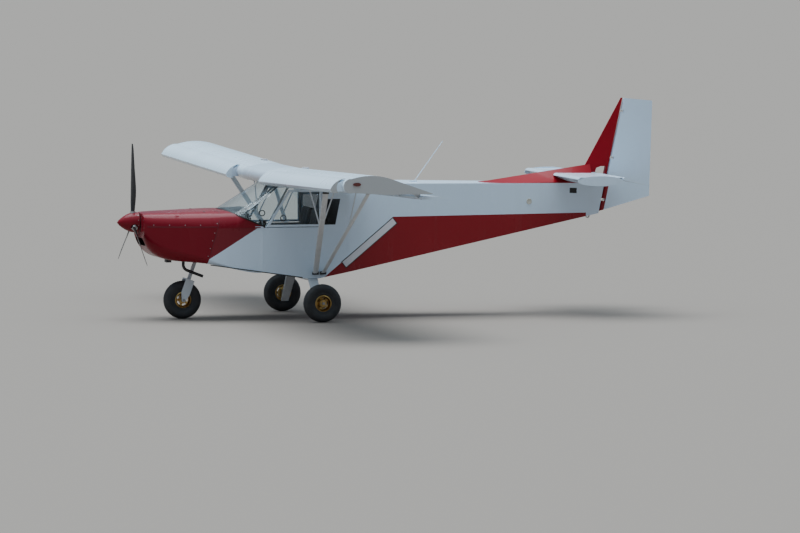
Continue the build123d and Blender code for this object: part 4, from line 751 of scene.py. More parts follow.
# Station, half width and height at both ends of the rows below and on top
BELLY_ROW = ((-1.0, 0.40, 0.60), (0.40, 0.40, 0.60))
KEEL_ROW = ((0.50, 0.54, 0.60), (3.40, 0.15, 1.05))
CROWN_ROW = ((0.50, 0.54, 1.66), (2.10, 0.33, 1.66))
# Start station and height, end station and height, and the pitch
SIDE_ROWS = [
    (-1.10, belly_height(-1.10) + 0.035, -0.09, belly_height(-0.09) + 0.020, RIVET_PITCH),
    (0.09, belly_height(0.09) + 0.020, 3.50, belly_height(3.50) + 0.016, RIVET_PITCH),
    (-0.62, 1.060, 0.42, 1.060, RIVET_PITCH),
    (-1.05, 0.80, 0.42, 0.80, WIDE_PITCH),
    (rake_station(0.74) + 0.030, 0.74, rake_station(1.20) + 0.030, 1.20, RIVET_PITCH),
    (rake_station(0.74) + 0.075, 0.74, rake_station(1.20) + 0.075, 1.20, RIVET_PITCH),
    (0.47, TOP_FRONT_Z - 0.018, 3.60, 1.519, RIVET_PITCH),
    (0.50, 1.19, 3.40, 1.19, WIDE_PITCH),
]
SIDE_ROWS += [(s, belly_height(s) + 0.05, s, 1.04, RIVET_PITCH) for s in POST_STATIONS]
SIDE_ROWS += [(s, 1.10, s, 1.54, RIVET_PITCH) for s in POST_STATIONS[1:]]
SIDE_ROWS += [(s, belly_height(s) + 0.05, s, 1.50, RIVET_PITCH) for s in SKIN_FRAMES]
fuselage_skin = skin_of("cabin_tub", "rear_fuselage", "rear_cabin_skin", "forward_deck")


def fuselage_rivets():
    bm = bmesh.new()
    for side in SIDES:
        for station_0, z_0, station_1, z_1, pitch in SIDE_ROWS:
            start = spot(station_0, side * SIDE_PLANE, z_0)
            end = spot(station_1, side * SIDE_PLANE, z_1)
            rivet_row(bm, fuselage_skin, start, end, (0.0, -side, 0.0), pitch)
    for row, shares, look, pitch in (
        (BELLY_ROW, (-1.0, 0.0, 1.0), UP, WIDE_PITCH),
        (KEEL_ROW, (-0.9, 0.0, 0.9), UP, WIDE_PITCH),
        (CROWN_ROW, (-0.9, 0.0, 0.9), DOWN, CLOSE_PITCH),
    ):
        for share in shares:
            start, end = (spot(station, share * half, z) for station, half, z in row)
            rivet_row(bm, fuselage_skin, start, end, look, pitch)
    return finish_piece(bm, "fuselage_rivets", "airframe", fuselage_paint)


fuselage_rivets()

# %% [markdown]
# Wing skins are riveted along every rib and along the spars. The rows are laid out by the wing's own
# chord and span, and cast from above and from below.

# %% Wing rivets
WING_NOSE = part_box("wing_left")[0].x
WING_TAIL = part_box("wing_left")[1].x
WING_CHORD = WING_TAIL - WING_NOSE
WING_ROOT = -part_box("wing_left")[1].y
WING_TIP = -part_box("wing_left")[0].y
WING_RISE = 0.0227
RIB_PITCH = 0.39
RIB_SHARES = (0.10, 0.96)
SPAR_SHARES = (0.13, 0.30, 0.62, 0.965)
RIB_RIVET_PITCH = 0.055
ABOVE_WING = 1.78
BELOW_WING = 1.56


def wing_lift(y):
    return (abs(y) - WING_ROOT) * WING_RISE


def wing_rivets(name, height, look):
    bm = bmesh.new()
    for side, node in ((PORT, "wing_left"), (STARBOARD, "wing_right")):
        tree = skin_of(node)
        for share in SPAR_SHARES:
            x = WING_NOSE + share * WING_CHORD
            start = Vector((x, side * (WING_ROOT + 0.03), height))
            end = Vector((x, side * (WING_TIP - 0.04), height + wing_lift(WING_TIP)))
            rivet_row(bm, tree, start, end, look, CLOSE_PITCH)
        rib = WING_ROOT + 0.03
        while rib < WING_TIP:
            start, end = (Vector((WING_NOSE + share * WING_CHORD, side * rib, height + wing_lift(rib)))
                          for share in RIB_SHARES)
            rivet_row(bm, tree, start, end, look, RIB_RIVET_PITCH)
            rib += RIB_PITCH
    return finish_piece(bm, name, "airframe", white_paint)


wing_rivets("wing_rivets_upper", ABOVE_WING, DOWN)
wing_rivets("wing_rivets_lower", BELOW_WING, UP)

# %% [markdown]
# Moving surfaces carry their own rivets, because their rows have to swing with them. Each group rides
# on the body of its surface.

# %% Rivets on the moving and tail surfaces
def surface_rivets(name, node, body, material, rows):
    bm = bmesh.new()
    tree = skin_of(node)
    for start, end, look, pitch in rows:
        rivet_row(bm, tree, Vector(start), Vector(end), look, pitch)
    return finish_piece(bm, name, body, material)


def flaperon_rows(node, side):
    low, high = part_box(node)
    rise = (high.y - low.y) * WING_RISE
    inner = min(abs(low.y), abs(high.y)) + 0.03
    outer = max(abs(low.y), abs(high.y)) - 0.03
    rows = []
    for x in (low.x + 0.055, low.x + 0.20, high.x - 0.02):
        for z, look in ((low.z + 0.05, DOWN), (low.z - 0.02, UP)):
            rows.append(((x, side * inner, z), (x, side * outer, z + rise), look, RIB_RIVET_PITCH))
    return rows


for side, body in ((PORT, "flaperon_left"), (STARBOARD, "flaperon_right")):
    surface_rivets(body + "_rivets", body, body, white_paint, flaperon_rows(body, side))


def span_rows(xs, half, z):
    """Rows across the tail at each X, above and below, left out where the fuselage is."""
    rows = []
    for x in xs:
        for side in SIDES:
            for height, look in ((z + 0.03, DOWN), (z - 0.03, UP)):
                rows.append(((x, side * TAIL_INNER, height), (x, side * half, height), look, CLOSE_PITCH))
    return rows


TAIL_INNER = 0.30
STAB_OUTER = 1.17
ELEVATOR_OUTER = 1.15
stab_low, stab_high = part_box("stabilizer")
stab_xs = (stab_low.x + 0.10, stab_low.x + 0.30, stab_high.x - 0.06)
surface_rivets("stabilizer_rivets", "stabilizer", "airframe", white_paint,
               span_rows(stab_xs, STAB_OUTER, (stab_low.z + stab_high.z) / 2))
elevator_low, elevator_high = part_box("elevator")
elevator_xs = (elevator_low.x + 0.06, elevator_high.x - 0.05)
surface_rivets("elevator_rivets", "elevator", "elevator", white_paint,
               span_rows(elevator_xs, ELEVATOR_OUTER, (elevator_low.z + elevator_high.z) / 2))

# %% [markdown]
# The rudder and the fin stand upright, so their rows are cast sideways, along ribs that run aft from
# the swept hinge line.

# %% Rivets on the rudder and the fin
HINGE_FOOT = pivots["rudder_swing"]
HINGE_LEAN_DEG = 12.4
UPRIGHT_PLANE = 0.05
RUDDER_RIBS = (1.42, 1.72, 2.02, 2.30, 2.49)
FIN_RIBS = (1.78, 2.02, 2.26, 2.51)
# Offset aft of the hinge line, lowest and highest point
RUDDER_EDGES = ((0.035, 1.24, 2.50), (0.35, 1.45, 2.49))
FIN_EDGES = ((-0.06, 1.78, 2.50),)
FIN_NOSE = -0.33
FIN_END_X = 2.80


def hinge_x_at(z):
    return HINGE_FOOT.x + (z - HINGE_FOOT.z) * math.tan(math.radians(HINGE_LEAN_DEG))


def upright_rows(zs, front, rear, edges):
    """Rows along the ribs at each height in zs, and along edges at an offset from the hinge line."""
    rows = []
    for side in SIDES:
        y = side * UPRIGHT_PLANE
        look = (0, -side, 0)
        for z in zs:
            rows.append(((hinge_x_at(z) + front, y, z), (rear, y, z), look, RIVET_PITCH))
        for offset, z_0, z_1 in edges:
            start = (hinge_x_at(z_0) + offset, y, z_0)
            rows.append((start, (hinge_x_at(z_1) + offset, y, z_1), look, RIVET_PITCH))
    return rows


surface_rivets("rudder_rivets", "rudder", "rudder", white_paint,
               upright_rows(RUDDER_RIBS, 0.03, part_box("rudder")[1].x - 0.03, RUDDER_EDGES))
surface_rivets("fin_rivets", "fin", "airframe", red_paint,
               upright_rows(FIN_RIBS, FIN_NOSE, FIN_END_X, FIN_EDGES))

# %% [markdown]
# ## Tyres
# Low-pressure tyres are nearly as wide as they are tall above the rim. The outline is worked out as
# a rounded curve from bead to bead, with four shallow grooves where the tread meets the ground, and
# `spin` turns it into the full ring. The three tyres replace the plain CAD ones.

# %% Tyres
TYRE_RADIUS = axle.z
BEAD_RADIUS = 0.0965
BEAD_HALF_WIDTH = 0.056
BEAD_LIP = 0.008
TYRE_HALF_WIDTH = 0.0745
WALL_RISE = 0.004
WALL_TURN_DEG = 118.0
WALL_SQUARENESS = 0.86
OUTLINE_STEPS = 60
GROOVES = (-0.036, -0.013, 0.013, 0.036)
GROOVE_HALF = 0.0024
GROOVE_DEPTH = 0.0045
TYRE_STEPS = 112


def squared(value):
    """A sine or cosine pushed outwards, so that a circle becomes a slightly squarer curve."""
    return math.copysign(abs(value) ** WALL_SQUARENESS, value)


def tyre_outline():
    """Radius and offset along the axle, from one bead over the tread to the other."""
    mid = (TYRE_RADIUS + BEAD_RADIUS) / 2 + WALL_RISE
    bead = [(BEAD_RADIUS, BEAD_HALF_WIDTH), (BEAD_RADIUS + BEAD_LIP, BEAD_HALF_WIDTH + BEAD_LIP)]
    points = [(radius, -y) for radius, y in bead]
    for step in range(OUTLINE_STEPS + 1):
        turn = math.radians(-WALL_TURN_DEG + 2 * WALL_TURN_DEG * step / OUTLINE_STEPS)
        y = TYRE_HALF_WIDTH * squared(math.sin(turn))
        radius = mid + (TYRE_RADIUS - mid) * squared(math.cos(turn))
        if math.cos(turn) > 0 and any(abs(y - groove) < GROOVE_HALF for groove in GROOVES):
            radius -= GROOVE_DEPTH
        points.append((radius, y))
    return points + bead[::-1]


def spin_outline(bm, outline, centre, axis, steps, closed=True):
    """Turns an outline of (radius, offset along the axis) into a full ring."""
    line = [bm.verts.new(centre + Vector((radius, 0.0, 0.0)) + Vector(axis) * offset)
            for radius, offset in outline]
    followers = line[1:] + line[:1] if closed else line[1:]
    edges = [bm.edges.new(pair) for pair in zip(line, followers)]
    bmesh.ops.spin(bm, geom=line + edges, cent=centre, axis=axis, angle=math.tau, steps=steps,
                   use_merge=True)


def tyre(name, body, centre):
    bm = bmesh.new()
    spin_outline(bm, tyre_outline(), centre, (0, 1, 0), TYRE_STEPS)
    bmesh.ops.recalc_face_normals(bm, faces=bm.faces)
    return finish_piece(bm, name, body, tyre_rubber)


TYRES = (
    ("main_tread_left", "main_wheel_left", "main_tyre_left", "main_wheel_left_spin"),
    ("main_tread_right", "main_wheel_right", "main_tyre_right", "main_wheel_right_spin"),
    ("nose_tread", "nose_wheel", "nose_tyre", "nose_wheel_spin"),
)
for name, body, node, pivot in TYRES:
    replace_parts(tyre(name, body, pivots[pivot]), node)

# %% [markdown]
# ## Tubes
# Seals, joint lines and piping are round sections swept along a path. A Blender curve with a bevel
# makes them, and is turned into a mesh at once, so that it can be joined with others.

# %% Tube tool
def sweep_tube(points, radius, sides=3):
    """A round tube with closed ends along a row of points, as a bmesh."""
    curve = bpy.data.curves.new("path", "CURVE")
    curve.dimensions = "3D"
    curve.bevel_depth = radius
    curve.bevel_resolution = sides
    curve.use_fill_caps = True
    spline = curve.splines.new("POLY")
    spline.points.add(len(points) - 1)
    for point, place in zip(spline.points, points):
        point.co = (*place, 1.0)
    holder = bpy.data.objects.new("path", curve)
    mesh = bpy.data.meshes.new_from_object(holder)
    bm = bmesh.new()
    bm.from_mesh(mesh)
    bpy.data.objects.remove(holder)
    bpy.data.meshes.remove(mesh)
    return bm


def join_into(bm, other):
    mesh = bpy.data.meshes.new("part")
    other.to_mesh(mesh)
    other.free()
    bm.from_mesh(mesh)
    bpy.data.meshes.remove(mesh)


print("tube tool ready")

# %% [markdown]
# ## Windshield
# The windshield is one bent acrylic sheet. It stands on a slanted line that drops from the deck's
# crown to the feet of the door posts, and below that line everything is red painted metal. So the
# deck and the shell beneath the sheet are copied and cut along that plane with `bisect_plane`. What
# lies below it stays, as the painted deck and its two cheeks.

# %% Deck and cheeks
MERGE_GAP = 1e-5
BASE_FRONT = (-1.006, 1.282)
BASE_REAR = (-0.571, 1.094)
BASE_SLOPE = (BASE_REAR[1] - BASE_FRONT[1]) / (BASE_REAR[0] - BASE_FRONT[0])


def cut_below_screen(name, node):
    bm = bmesh.new()
    bm.from_mesh(nodes[node].data)
    bmesh.ops.remove_doubles(bm, verts=bm.verts, dist=MERGE_GAP)
    cut = bmesh.ops.bisect_plane(
        bm, geom=bm.verts[:] + bm.edges[:] + bm.faces[:], plane_no=(-BASE_SLOPE, 0.0, 1.0),
        plane_co=spot(BASE_FRONT[0], 0.0, BASE_FRONT[1]), clear_outer=True,
    )
    rim = [edge for edge in cut["geom_cut"] if isinstance(edge, bmesh.types.BMEdge)]
    bmesh.ops.holes_fill(bm, edges=rim, sides=0)
    return finish_piece(bm, name, "airframe", cowl_paint)


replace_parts(cut_below_screen("deck_panel", "forward_deck"), "forward_deck")
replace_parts(cut_below_screen("deck_cheeks", "windshield"), "windshield")

# %% [markdown]
# In plan the sheet is half an ellipse that runs on into flat sides, and its front moves aft as it
# rises. Every upright line on it is straight, so each one starts where the slanted plane meets it and
# ends under the wing. A grid from `create_grid` is bent onto those lines, and `solidify` gives it the
# thickness of real acrylic.

# %% Windshield sheet
# The front's station and height, and how far the bend reaches aft
SCREEN_FOOT = (-1.389, 1.050, 0.430)
SCREEN_HEAD = (-0.448, 1.620, 0.250)
POST_FOOT = (-0.579, 1.082)
POST_HEAD = (-0.252, 1.600)
POST_LEAN = (POST_HEAD[0] - POST_FOOT[0]) / (POST_HEAD[1] - POST_FOOT[1])
SCREEN_TOP = 1.592
SCREEN_THICKNESS = 0.005
CABIN_HALF = -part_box("cabin_tub")[0].y
FLAT_SHARE = 0.25
SHEET_GRID = (144, 16)


def screen_line(share):
    """Foot and head of the upright line at a share of the way round, from -1 to 1."""
    side = math.copysign(1.0, share)
    turn = min(abs(share) / (1.0 - FLAT_SHARE), 1.0) * math.pi / 2
    aft = max(abs(share) - (1.0 - FLAT_SHARE), 0.0) / FLAT_SHARE
    ends = []
    for front, z, depth in (SCREEN_FOOT, SCREEN_HEAD):
        rear = POST_FOOT[0] + (z - POST_FOOT[1]) * POST_LEAN
        curve = front + depth * (1.0 - math.cos(turn))
        ends.append((curve + (rear - curve) * aft, z))
    (s_0, z_0), (s_1, z_1) = ends
    lean = (s_1 - s_0) / (z_1 - z_0)
    start = s_0 - lean * z_0
    foot_z = (BASE_FRONT[1] + BASE_SLOPE * (start - BASE_FRONT[0])) / (1.0 - BASE_SLOPE * lean)
    y = side * CABIN_HALF * math.sin(turn)
    return spot(start + lean * foot_z, y, foot_z), spot(start + lean * SCREEN_TOP, y, SCREEN_TOP)


def thicken(bm, outward, thickness):
    """Turns the faces so that the outermost one looks outwards, and gives them a thickness."""
    outward = Vector(outward)
    bmesh.ops.recalc_face_normals(bm, faces=bm.faces)
    outermost = max(bm.faces, key=lambda face: face.calc_center_median().dot(outward))
    if outermost.normal.dot(outward) < 0.0:
        bmesh.ops.reverse_faces(bm, faces=bm.faces)
    bmesh.ops.solidify(bm, geom=bm.faces[:], thickness=thickness)


def windshield_sheet():
    bm = bmesh.new()
    bmesh.ops.create_grid(bm, x_segments=SHEET_GRID[0], y_segments=SHEET_GRID[1], size=1.0)
    for vert in bm.verts:
        foot, head = screen_line(vert.co.x)
        vert.co = foot.lerp(head, (vert.co.y + 1.0) / 2)
    thicken(bm, (-1, 0, 0), SCREEN_THICKNESS)
    return finish_piece(bm, "windshield_sheet", "airframe", clear_acrylic)


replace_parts(windshield_sheet(), "windshield")

# %% [markdown]
# A black rubber strip seals the sheet along its foot. Behind the sheet a dark moulded hood runs from
# there to the top of the instrument panel, so that the panel stays in shade and the deck doesn't
# mirror in the acrylic. The hood is a grid bent between two lines: the foot line, a little inwards,
# and an arch along the panel's upper edge.

# %% Windshield seal and panel hood
SEAL_RADIUS = 0.0095
SEAL_STEPS = 56
HOOD_INSET = 0.016
HOOD_REACH = 0.80
HOOD_TOP = 1.305
HOOD_DROP = 0.215
HOOD_SQUARENESS = 3.5
HOOD_GRID = (48, 8)
HOOD_THICKNESS = 0.003


def foot_path():
    shares = [-1.0 + 2.0 * step / SEAL_STEPS for step in range(SEAL_STEPS + 1)]
    return [screen_line(share)[0] for share in shares]


def panel_hood():
    bm = bmesh.new()
    bmesh.ops.create_grid(bm, x_segments=HOOD_GRID[0], y_segments=HOOD_GRID[1], size=1.0)
    panel_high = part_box("instrument_panel")[1]
    half = panel_high.y - 2 * HOOD_INSET
    for vert in bm.verts:
        share = vert.co.x
        foot = screen_line(share * HOOD_REACH)[0]
        foot.y -= math.copysign(HOOD_INSET, share) * min(abs(share) * 4.0, 1.0)
        foot.x += HOOD_INSET * (1.0 - abs(share))
        foot.z += HOOD_INSET / 2
        drop = HOOD_DROP * abs(share) ** HOOD_SQUARENESS
        arch = Vector((panel_high.x + HOOD_INSET, share * half, HOOD_TOP - drop))
        vert.co = foot.lerp(arch, (vert.co.y + 1.0) / 2)
    thicken(bm, UP, HOOD_THICKNESS)
    return finish_piece(bm, "panel_hood", "airframe", seal_rubber)


finish_piece(sweep_tube(foot_path(), SEAL_RADIUS), "windshield_seal", "airframe", seal_rubber)
panel_hood()

# %% [markdown]
# ## Laid strips and patches
# Lap joints, tape, a placard and belts are all thin flat bands that follow what they lie on. The tool
# makes a grid, drops each of its points onto the surface with a ray, lifts it a little and gives it a
# thickness with `solidify`.

# %% Laid patch tool
def laid_patch(bm, tree, start, end, across, look, lift=0.0004, thickness=0.0008, steps=(16, 1)):
    """A thin band from start to end, as wide as the vector across, dropped onto a surface."""
    look = Vector(look).normalized()
    made = bmesh.ops.create_grid(bm, x_segments=steps[0], y_segments=steps[1], size=0.5)["verts"]
    run = end - start
    missed = []
    for vert in made:
        point = start + run * (vert.co.x + 0.5) + across * vert.co.y
        found = first_hit(tree, point - look * DROP, look)
        if found and (found[0] - point).length < DROP:
            vert.co = found[0] + found[1] * lift
        else:
            missed.append(vert)
    bmesh.ops.delete(bm, geom=missed, context="VERTS")
    faces = list({face for vert in made if vert.is_valid for face in vert.link_faces})
    bmesh.ops.recalc_face_normals(bm, faces=faces)
    if faces and faces[0].normal.dot(look) > 0.0:
        bmesh.ops.reverse_faces(bm, faces=faces)
    bmesh.ops.solidify(bm, geom=faces, thickness=thickness)


def side_patch(bm, side, tree, start, end, width, **options):
    """A band on a fuselage side: start and end are (station, z)."""
    first = spot(start[0], side * SIDE_PLANE, start[1])
    last = spot(end[0], side * SIDE_PLANE, end[1])
    run = (last - first).normalized()
    across = run.cross(Vector((0.0, 1.0, 0.0))) * width
    laid_patch(bm, tree, first, last, across, (0.0, -side, 0.0), **options)


print("patch tool ready")

# %% [markdown]
# ## Skin seams
# Two sheets of skin overlap by an inch where they meet. Seen from outside, a lap is a low step with a
# row of rivets along it. Each lap is a laid band under a millimetre thick, and the rivets that were
# cast before run through it.

# %% Skin seams
LAP_WIDTH = 0.026
SIDE_LAPS = (
    ((0.621, 0.66), (0.621, 1.50)),
    ((1.62, 0.88), (1.62, 1.51)),
    ((2.80, 1.11), (2.80, 1.50)),
    ((0.46, 1.106), (0.608, 1.114)),
)


def skin_seams():
    bm = bmesh.new()
    for side in SIDES:
        for start, end in SIDE_LAPS:
            side_patch(bm, side, fuselage_skin, start, end, LAP_WIDTH, steps=(24, 1))
    return finish_piece(bm, "skin_seams", "airframe", fuselage_paint)


skin_seams()

# %% [markdown]
# Under the door window a thin strip lies along the sill's top edge, and its white is a painted highlight on
# that edge.
# A thin black tube along the lower edge of each side, from the cowl to the strut feet, makes a thin
# dark line there.

# %% Sill strips and belly edge
EDGE_RADIUS = 0.006
EDGE_STEP = 0.10
EDGE_GAP = 0.06
SILL = ((-0.690, 1.090), (-0.590, 1.088))
SILL_WIDTH = 0.022


# The strip is white paint that stands for the highlight on the sill's edge
def sill_highlight_strips():
    bm = bmesh.new()
    under = skin_of("cabin_tub", "windshield", "forward_deck")
    for side in SIDES:
        side_patch(bm, side, under, *SILL, SILL_WIDTH, lift=0.002, thickness=0.004, steps=(8, 1))
    return finish_piece(bm, "sill_highlight_strips", "airframe", white_paint)


def belly_edges():
    bm = bmesh.new()
    for side in SIDES:
        stations = [rake_station(0.70) + 0.02 + step * EDGE_STEP for step in range(12)]
        path = [spot(s, side * CABIN_HALF, belly_height(s) + EDGE_RADIUS)
                for s in stations if s < -EDGE_GAP]
        join_into(bm, sweep_tube(path, EDGE_RADIUS))
    return finish_piece(bm, "belly_edge_strips", "airframe", seal_rubber)


sill_highlight_strips()
belly_edges()

# %% [markdown]
# ## Placard and small fittings on the port side
# Along the edge of the red area lies a white placard with a thin dark border. Ours is blank. Farther
# aft are a round pale cap and a small black plate. The border is a slightly larger band under the
# white one, which keeps its width even all round.

# %% Placard and port fittings
PLACARD = ((0.3675, 0.6335), (1.0105, 1.1465))
PLACARD_WIDTH = 0.097
PLACARD_STEPS = (48, 4)
BORDER = 0.011
FACE_LIFT = 0.0014
CAP_SPOT = (2.697, 1.334)
CAP_RADIUS = 0.035
CAP_RISE = 0.006
PLATE = ((3.212, 1.455), (3.302, 1.450))
PLATE_WIDTH = 0.062
PLATE_THICKNESS = 0.003


def placard():
    (s_0, z_0), (s_1, z_1) = PLACARD
    length = math.hypot(s_1 - s_0, z_1 - z_0)
    ds, dz = (s_1 - s_0) / length * BORDER, (z_1 - z_0) / length * BORDER
    rim = bmesh.new()
    side_patch(rim, PORT, fuselage_skin, *PLACARD, PLACARD_WIDTH, steps=PLACARD_STEPS)
    finish_piece(rim, "placard_border", "airframe", seal_rubber)
    face = bmesh.new()
    inner = ((s_0 + ds, z_0 + dz), (s_1 - ds, z_1 - dz))
    side_patch(face, PORT, fuselage_skin, *inner, PLACARD_WIDTH - 2 * BORDER, lift=FACE_LIFT,
               steps=PLACARD_STEPS)
    return finish_piece(face, "placard_face", "airframe", plate_white)


def dished_cap(bm, place, normal, radius, rise, rim_share=0.16):
    """A round cap with a raised rim and a sunk middle."""
    made = bmesh.ops.create_cone(bm, cap_ends=True, segments=28, radius1=radius, radius2=radius * 0.93,
                                 depth=rise, matrix=on_surface(place, normal, rise / 2))
    faces = {face for vert in made["verts"] for face in vert.link_faces}
    top = max(faces, key=lambda face: (face.calc_center_median() - place).dot(normal))
    bmesh.ops.inset_individual(bm, faces=[top], thickness=radius * rim_share, depth=-rise * 0.35)


def port_fittings():
    cap = bmesh.new()
    found = first_hit(fuselage_skin, spot(CAP_SPOT[0], -0.7, CAP_SPOT[1]), Vector((0.0, 1.0, 0.0)))
    dished_cap(cap, *found, CAP_RADIUS, CAP_RISE)
    finish_piece(cap, "round_side_cap", "airframe", pale_plastic)
    plate = bmesh.new()
    tail_skin = skin_of("rear_fuselage", "dorsal_fairing", "stabilizer")
    side_patch(plate, PORT, tail_skin, *PLATE, PLATE_WIDTH, thickness=PLATE_THICKNESS, steps=(4, 2))
    return finish_piece(plate, "tail_side_plate", "airframe", seal_rubber)


placard()
port_fittings()

# %% [markdown]
# ## Cowl joints and fasteners
# The cowl is two mouldings held by quarter-turn fasteners. Their joint runs level along each side, and
# a second joint follows the raked firewall. Each joint shows as a fine dark line, so a thin dark bead
# laid on the skin stands for it. Each fastener is a small steel disc with a sunk face and a bar
# across it. The blisters on the shoulders end in a small vent, and a black dished disc there is
# painted shade for the dark inside of its opening.

# %% Cowl joints and fasteners
JOINT_RADIUS = 0.0020
PATH_STEPS = 40
SPLIT_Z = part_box("cowl_upper")[0].z
COWL_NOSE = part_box("cowl_upper")[0].x - axle.x
FASTENER_RADIUS = 0.0062
FASTENER_RISE = 0.0022
FASTENER_PITCH = 0.175
FASTENER_INSET = 0.022
BAR_WIDTH = 0.0018
BAR_DEPTH = 0.0012
RAKE_FASTENERS = (0.76, 0.85, 0.94, 1.03, 1.14)
BLISTER_END = (-1.262, 0.372)
BLISTER_VENT_RADIUS = 0.014
BLISTER_VENT_RISE = 0.003
cowl_skin = skin_of("cowl_upper", "cowl_lower", "cabin_tub", "forward_deck")


def dropped_path(tree, start, end, look):
    """The points where a straight line in space lands on a surface."""
    look = Vector(look).normalized()
    points = [start.lerp(end, step / PATH_STEPS) for step in range(PATH_STEPS + 1)]
    hits = [first_hit(tree, point - look * DROP, look) for point in points]
    return [hit[0] for hit in hits if hit]


def cowl_lines():
    """Start, end and look direction of each joint line on the cowl."""
    lines = []
    for side in SIDES:
        y = side * 0.40
        look = (0.0, -side, 0.0)
        lines.append((spot(COWL_NOSE + 0.03, y, SPLIT_Z), spot(rake_station(SPLIT_Z), y, SPLIT_Z), look))
        lines.append((spot(rake_station(0.72), y, 0.72), spot(rake_station(1.18), y, 1.18), look))
        top = spot(rake_station(1.23), side * 0.45, 1.40)
        lines.append((top, spot(rake_station(1.26), side * 0.02, 1.40), DOWN))
    return lines


def cowl_joints():
    bm = bmesh.new()
    for start, end, look in cowl_lines():
        path = dropped_path(cowl_skin, start, end, look)
        join_into(bm, sweep_tube(path, JOINT_RADIUS, sides=1))
    return finish_piece(bm, "cowl_joint_lines", "airframe", seal_rubber)


def fastener(bm, place, normal):
    dished_cap(bm, place, normal, FASTENER_RADIUS, FASTENER_RISE, rim_share=0.28)
    bar_size = Matrix.Diagonal((FASTENER_RADIUS * 1.2, BAR_WIDTH, BAR_DEPTH, 1.0))
    seat = on_surface(place, normal, FASTENER_RISE - BAR_DEPTH / 3)
    bmesh.ops.create_cube(bm, size=1.0, matrix=seat @ bar_size)


def cowl_fasteners():
    bm = bmesh.new()
    for side in SIDES:
        look = Vector((0.0, -side, 0.0))
        places = [(COWL_NOSE + 0.10 + step * FASTENER_PITCH, SPLIT_Z + FASTENER_INSET) for step in range(4)]
        places += [(rake_station(z) - FASTENER_INSET, z) for z in RAKE_FASTENERS]
        for station, z in places:
            found = first_hit(cowl_skin, spot(station, side * 0.9, z), look)
            if found:
                fastener(bm, *found)
    return finish_piece(bm, "cowl_fasteners", "airframe", steel_metal)


def blister_vent_shadows():
    """A black dished disc at the rear end of each blister on the cowl's shoulders: painted shade for the
    vent's opening.
    """
    bm = bmesh.new()
    for side in SIDES:
        found = first_hit(cowl_skin, spot(BLISTER_END[0], side * BLISTER_END[1], 1.45), Vector(DOWN))
        if found:
            dished_cap(bm, *found, BLISTER_VENT_RADIUS, BLISTER_VENT_RISE)
    return finish_piece(bm, "blister_vent_shadows", "airframe", seal_rubber)


cowl_joints()
cowl_fasteners()
blister_vent_shadows()

# %% [markdown]
# ## Spinner screws and wheel fittings
# The spinner is held to its back plate by a ring of screws. Each main rim has bolts between its
# windows and a valve. They are small turned forms, set on the surface by rays and joined into one
# piece for each body that they turn with.

# %% Spinner screws and wheel fittings
SCREW_COUNT = 12
SCREW_STATION = -1.988
SCREW_RADIUS = 0.0055
SCREW_RISE = 0.0026
BOLT_COUNT = 5
BOLT_RING = 0.033
BOLT_RADIUS = 0.0055
BOLT_RISE = 0.006
VALVE_RING = 0.078
VALVE_RADIUS = 0.004
VALVE_LENGTH = 0.022


def spinner_screws():
    hub = pivots["propeller_spin"]
    tree = skin_of("spinner")
    bm = bmesh.new()
    for index in range(SCREW_COUNT):
        turn = math.tau * (index + 0.5) / SCREW_COUNT
        outward = Vector((0.0, math.sin(turn), math.cos(turn)))
        found = first_hit(tree, Vector((at(SCREW_STATION), hub.y, hub.z)) + outward * 0.3, -outward)
        if found:
            add_head(bm, *found, radius=SCREW_RADIUS, rise=SCREW_RISE, sides=12)
    return finish_piece(bm, "spinner_screws", "propeller", steel_metal)


def wheel_fittings(hand, side):
    bm = bmesh.new()
    body = "main_wheel_" + hand
    tree = skin_of("main_rim_" + hand)
    look = Vector((0.0, -side, 0.0))
    outer = pivots[body + "_spin"] + Vector((0.0, side * 0.2, 0.0))
    for index in range(BOLT_COUNT):
        turn = math.tau * (index + 0.5) / BOLT_COUNT
        offset = Vector((math.cos(turn), 0.0, math.sin(turn))) * BOLT_RING
        found = first_hit(tree, outer + offset, look)
        if found:
            add_head(bm, *found, radius=BOLT_RADIUS, rise=BOLT_RISE, sides=6)
    valve = first_hit(tree, outer + Vector((0.0, 0.0, VALVE_RING)), look)
    if valve:
        add_head(bm, *valve, radius=VALVE_RADIUS, rise=VALVE_LENGTH, sides=10)
    return finish_piece(bm, "wheel_bolts_" + hand, body, steel_metal)


spinner_screws()
wheel_fittings("left", PORT)
wheel_fittings("right", STARBOARD)

# %% [markdown]
# ## Door vents
# A round vent is let into each door window, low and towards the front, so that a hand can turn it to
# catch air. Only its ring stands out, and the window's own sheet shows inside it. `spin` turns a
# small square into the ring.

# %% Door vents
VENT_SPOT = (-0.353, 1.195)
VENT_RADIUS = 0.032
VENT_BAND = 0.005
VENT_STEPS = 36


def door_vent(hand):
    bm = bmesh.new()
    low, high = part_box("door_window_" + hand)
    centre = spot(VENT_SPOT[0], (low.y + high.y) / 2, VENT_SPOT[1])
    section = [(VENT_RADIUS + across * VENT_BAND, along * VENT_BAND)
               for across, along in ((-1, -1), (1, -1), (1, 1), (-1, 1))]
    spin_outline(bm, section, centre, (0, 1, 0), VENT_STEPS)
    bmesh.ops.recalc_face_normals(bm, faces=bm.faces)
    body = "door_" + hand
    return finish_piece(bm, body + "_vent", body, panel_plastic)


door_vent("left")
door_vent("right")

# %% [markdown]
# ## Instrument panel
# The panel carries round gauges in two rows before the pilot, and smaller engine gauges on the other
# side. A gauge is a raised bezel, a sunk dark face, white ticks and a needle. Ticks and needles are
# thin boxes laid round the face by their angle.

# %% Instrument panel
PANEL_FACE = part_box("instrument_panel")[1].x
